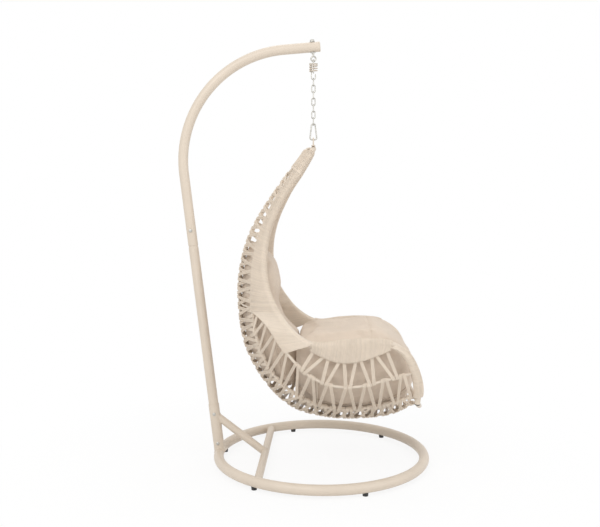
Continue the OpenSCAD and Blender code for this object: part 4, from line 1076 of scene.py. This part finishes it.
class EGGCHAIR_OT_stuff_cushions(Builder, bpy.types.Operator):
    """Sew and stuff the seat and back cushions"""
    bl_idname = "egg_chair.stuff_cushions"
    bl_label = "Stuff Cushions"

    def build(self, scene):
        self.cloth = cushion_cloth(tuple(scene.egg_chair_cushion.colour))
        seat, back = np.array(seat_rings()), np.array(back_rings())

        def seam(rings, left, right):
            """Line along one point of each section and back along another."""
            first, last = (rings[k:k + 1, [left, right]].mean(1) for k in (0, len(rings) - 1))
            return np.vstack([rings[:, left], last, rings[::-1, right], first])

        top = (seam(seat, 5, 9) + seam(seat, 6, 8)) / 2
        across_top = seat[5][5:10] * (1, 0.995, 1) + (0.02, 0, 0)
        self.stuff(scene, "seat_cushion", seat, [top, seam(seat, 2, 12)], [across_top])
        self.stuff(scene, "back_cushion", back, [seam(back, 3, 9)], [])

    def stuff(self, scene, name, rings, edges, channels):
        """Makes one cushion from its sections, and sews it along its edges and channels."""
        given = scene.egg_chair_cushion
        middle = (rings + APEX).mean(1, keepdims=True)
        out = rings + APEX - middle
        rings = middle + out * (1 - given.ease / np.linalg.norm(out, axis=2, keepdims=True))
        bm = bmesh.new()
        rows = [[bm.verts.new(Vector(p)) for p in ring] for ring in rings]
        for a, b in zip(rows, rows[1:]):
            for i in range(len(a)):
                j = (i + 1) % len(a)
                bm.faces.new((a[i], a[j], b[j], b[i]))
        bm.faces.new(rows[0][::-1])
        bm.faces.new(rows[-1])
        bmesh.ops.recalc_face_normals(bm, faces=bm.faces)
        ob = add_mesh(f"{name}_cover", mesh_of(bm, name))
        self.shape(ob, [("SUBSURF", {"subdivision_type": "SIMPLE", "levels": 1, "render_levels": 1}),
                        ("SUBSURF", {"levels": 2, "render_levels": 2}),
                        ("REMESH", {"mode": "VOXEL", "voxel_size": given.voxel})])
        self.fill(scene, ob, given.pressure, reach=0.014)
        self.shape(ob, [("SMOOTH", {"factor": 0.5, "iterations": 4}),
                        ("SUBSURF", {"levels": 1, "render_levels": 1})])
        mesh = ob.data
        mesh.name = name
        rumple(mesh, depth=0.0022, scale=17.0)
        press(mesh, is_seat=name == "seat_cushion")
        seams = [laid_on(mesh, APEX + line, 0.0) for line in edges]
        inner = [laid_on(mesh, APEX + np.vstack([line, line[::-1]]), 0.0) for line in channels]
        sew(mesh, seams + inner, depth=0.0035, width=0.006, pucker=0.0016)
        mesh.materials.clear()
        mesh.materials.append(self.cloth)
        mesh.polygons.foreach_set("use_smooth", [True] * len(mesh.polygons))
        settle(ob, "basket", "cushion_cloth", name)
        piping = [laid_on(mesh, line, given.piping_d * 0.3) for line in seams]
        piping = wires("piping", piping, closed=True)
        cord = rod_along(f"{name}_piping", piping, given.piping_d / 2, 8, self.cloth)
        settle(cord, "basket", "cushion_cloth")

    def shape(self, ob, steps):
        """Puts modifiers on a piece and keeps their result as its mesh."""
        for kind, values in steps:
            live = ob.modifiers.new("shape", kind)
            for key, value in values.items():
                setattr(live, key, value)
        ob.data = made_mesh(ob)

    def fill(self, scene, ob, pressure, reach, frames=20):
        """Blows the cover up against its own cloth, then keeps that shape."""
        live = ob.modifiers.new("fill", "CLOTH")
        live.settings.use_pressure = True
        live.settings.uniform_pressure_force = pressure
        live.settings.effector_weights.gravity = 0
        live.point_cache.frame_start = 1
        live.point_cache.frame_end = frames
        for number in range(1, frames + 1):
            scene.frame_set(number)
        places = filled(ob.data, made_mesh(ob), reach)
        for v, place in zip(ob.data.vertices, places):
            v.co = place
        scene.frame_set(1)


class EGGCHAIR_OT_set_stage(Builder, bpy.types.Operator):
    """Set the floor, the backdrop light, the lamps and the camera"""
    bl_idname = "egg_chair.set_stage"
    bl_label = "Set Stage"

    def build(self, scene):
        stage = scene.egg_chair_stage
        self.lay_floor(tuple(stage.floor))
        scene.world = bpy.data.worlds.new("studio")
        scene.world.use_nodes = True
        w = Graph(scene.world.node_tree)
        w.tree.nodes.clear()
        soft = w.step("ShaderNodeBackground", Color=(1.0, 0.99, 0.97), Strength=0.75)
        white = w.step("ShaderNodeBackground", Color=(1.0, 1.0, 1.0), Strength=1.0)
        both = w.add("ShaderNodeMixShader", {}, {0: seen(w), 1: soft, 2: white})
        w.add("ShaderNodeOutputWorld", {}, {"Surface": both})
        for name, share, width, place, aim_z in (
                ("key", 1.0, 2.2, (-1.6, -3.2, 3.4), 0.8), ("fill", 0.6, 3.0, (3.4, -2.4, 2.0), 0.8),
                ("top", 0.42, 3.0, (0.4, 1.2, 4.2), 0.6)):
            self.lamp(name, stage.key * share, width, place, (0.05, 0, aim_z))
        eye_x, eye_y, eye_z, pitch, turn = 0.031, -3.487, 1.175, 85.85, 2.13
        data = bpy.data.cameras.new("camera")
        data.sensor_width = 36.0
        data.lens = stage.lens
        camera = bpy.data.objects.new("camera", data)
        scene.collection.objects.link(camera)
        camera.location = (eye_x + RING_X, eye_y, eye_z)
        camera.rotation_euler = (radians(pitch), 0.0, radians(turn))
        scene.camera = camera
        scene.view_settings.view_transform = "Standard"

    def lay_floor(self, colour):
        """A matt floor that turns to the backdrop's white away from the chair."""
        near, far, near_white = 0.55, 1.5, 0.87
        bm = bmesh.new()
        bmesh.ops.create_grid(bm, x_segments=8, y_segments=8, size=30)
        floor = add_mesh("floor", mesh_of(bm, "floor"))
        f = Finish("floor_paint")
        at = f.place()
        f.wear(Base_Color=f.blend(f.noise(at, 3.0), shade(colour, 0.99), colour),
               Roughness=0.9, Specular_IOR_Level=0.0)
        x, y, _ = f.axes(at)
        away = (x * x + y * y).do("sqrt")
        white = f.step("ShaderNodeEmission", Color=(1.0, 1.0, 1.0), Strength=1.0)
        share = f.between(away, near, far, near_white, 1.0) * seen(f)
        paint = Flow(f, f.shader.outputs[0])
        f.show(f.add("ShaderNodeMixShader", {}, {0: share, 1: paint, 2: white}))
        floor.data.materials.append(f.material)

    def lamp(self, name, power, width, place, aim):
        data = bpy.data.lights.new(name, "AREA")
        data.energy = power
        data.size = width
        lamp = bpy.data.objects.new(name, data)
        bpy.context.scene.collection.objects.link(lamp)
        lamp.location = place
        lamp.rotation_euler = (Vector(aim) - Vector(place)).to_track_quat("-Z", "Y").to_euler()


OPERATORS = (
    EGGCHAIR_OT_coat_stand, EGGCHAIR_OT_plate_fittings, EGGCHAIR_OT_coil_spring, EGGCHAIR_OT_bend_basket,
    EGGCHAIR_OT_wind_wraps, EGGCHAIR_OT_lace_sides, EGGCHAIR_OT_stuff_cushions, EGGCHAIR_OT_set_stage,
)
GROUPS = (
    ("egg_chair_steel", EggChairSteel), ("egg_chair_rope", EggChairRope),
    ("egg_chair_cushion", EggChairCushion), ("egg_chair_stage", EggChairStage),
)


class EGGCHAIR_PT_panel(bpy.types.Panel):
    """Sizes, colours and steps of the chair"""
    bl_idname = "EGGCHAIR_PT_panel"
    bl_label = "Hanging Egg Chair"
    bl_space_type = "VIEW_3D"
    bl_region_type = "UI"
    bl_category = "Egg Chair"

    def draw(self, context):
        for key, group in GROUPS:
            box = self.layout.box()
            for name in group.__annotations__:
                box.prop(getattr(context.scene, key), name)
        for operator in OPERATORS:
            self.layout.operator(operator.bl_idname)


def register():
    for key, group in GROUPS:
        bpy.utils.register_class(group)
        setattr(bpy.types.Scene, key, PointerProperty(type=group))
    for cls in (*OPERATORS, EGGCHAIR_PT_panel):
        bpy.utils.register_class(cls)


def unregister():
    for cls in (EGGCHAIR_PT_panel, *reversed(OPERATORS)):
        bpy.utils.unregister_class(cls)
    for key, group in reversed(GROUPS):
        delattr(bpy.types.Scene, key)
        bpy.utils.unregister_class(group)


def main():
    register()
    for operator in OPERATORS:
        area, name = operator.bl_idname.split(".")
        getattr(getattr(bpy.ops, area), name)()
    bpy.context.view_layer.update()


if __name__ == "__main__":
    main()
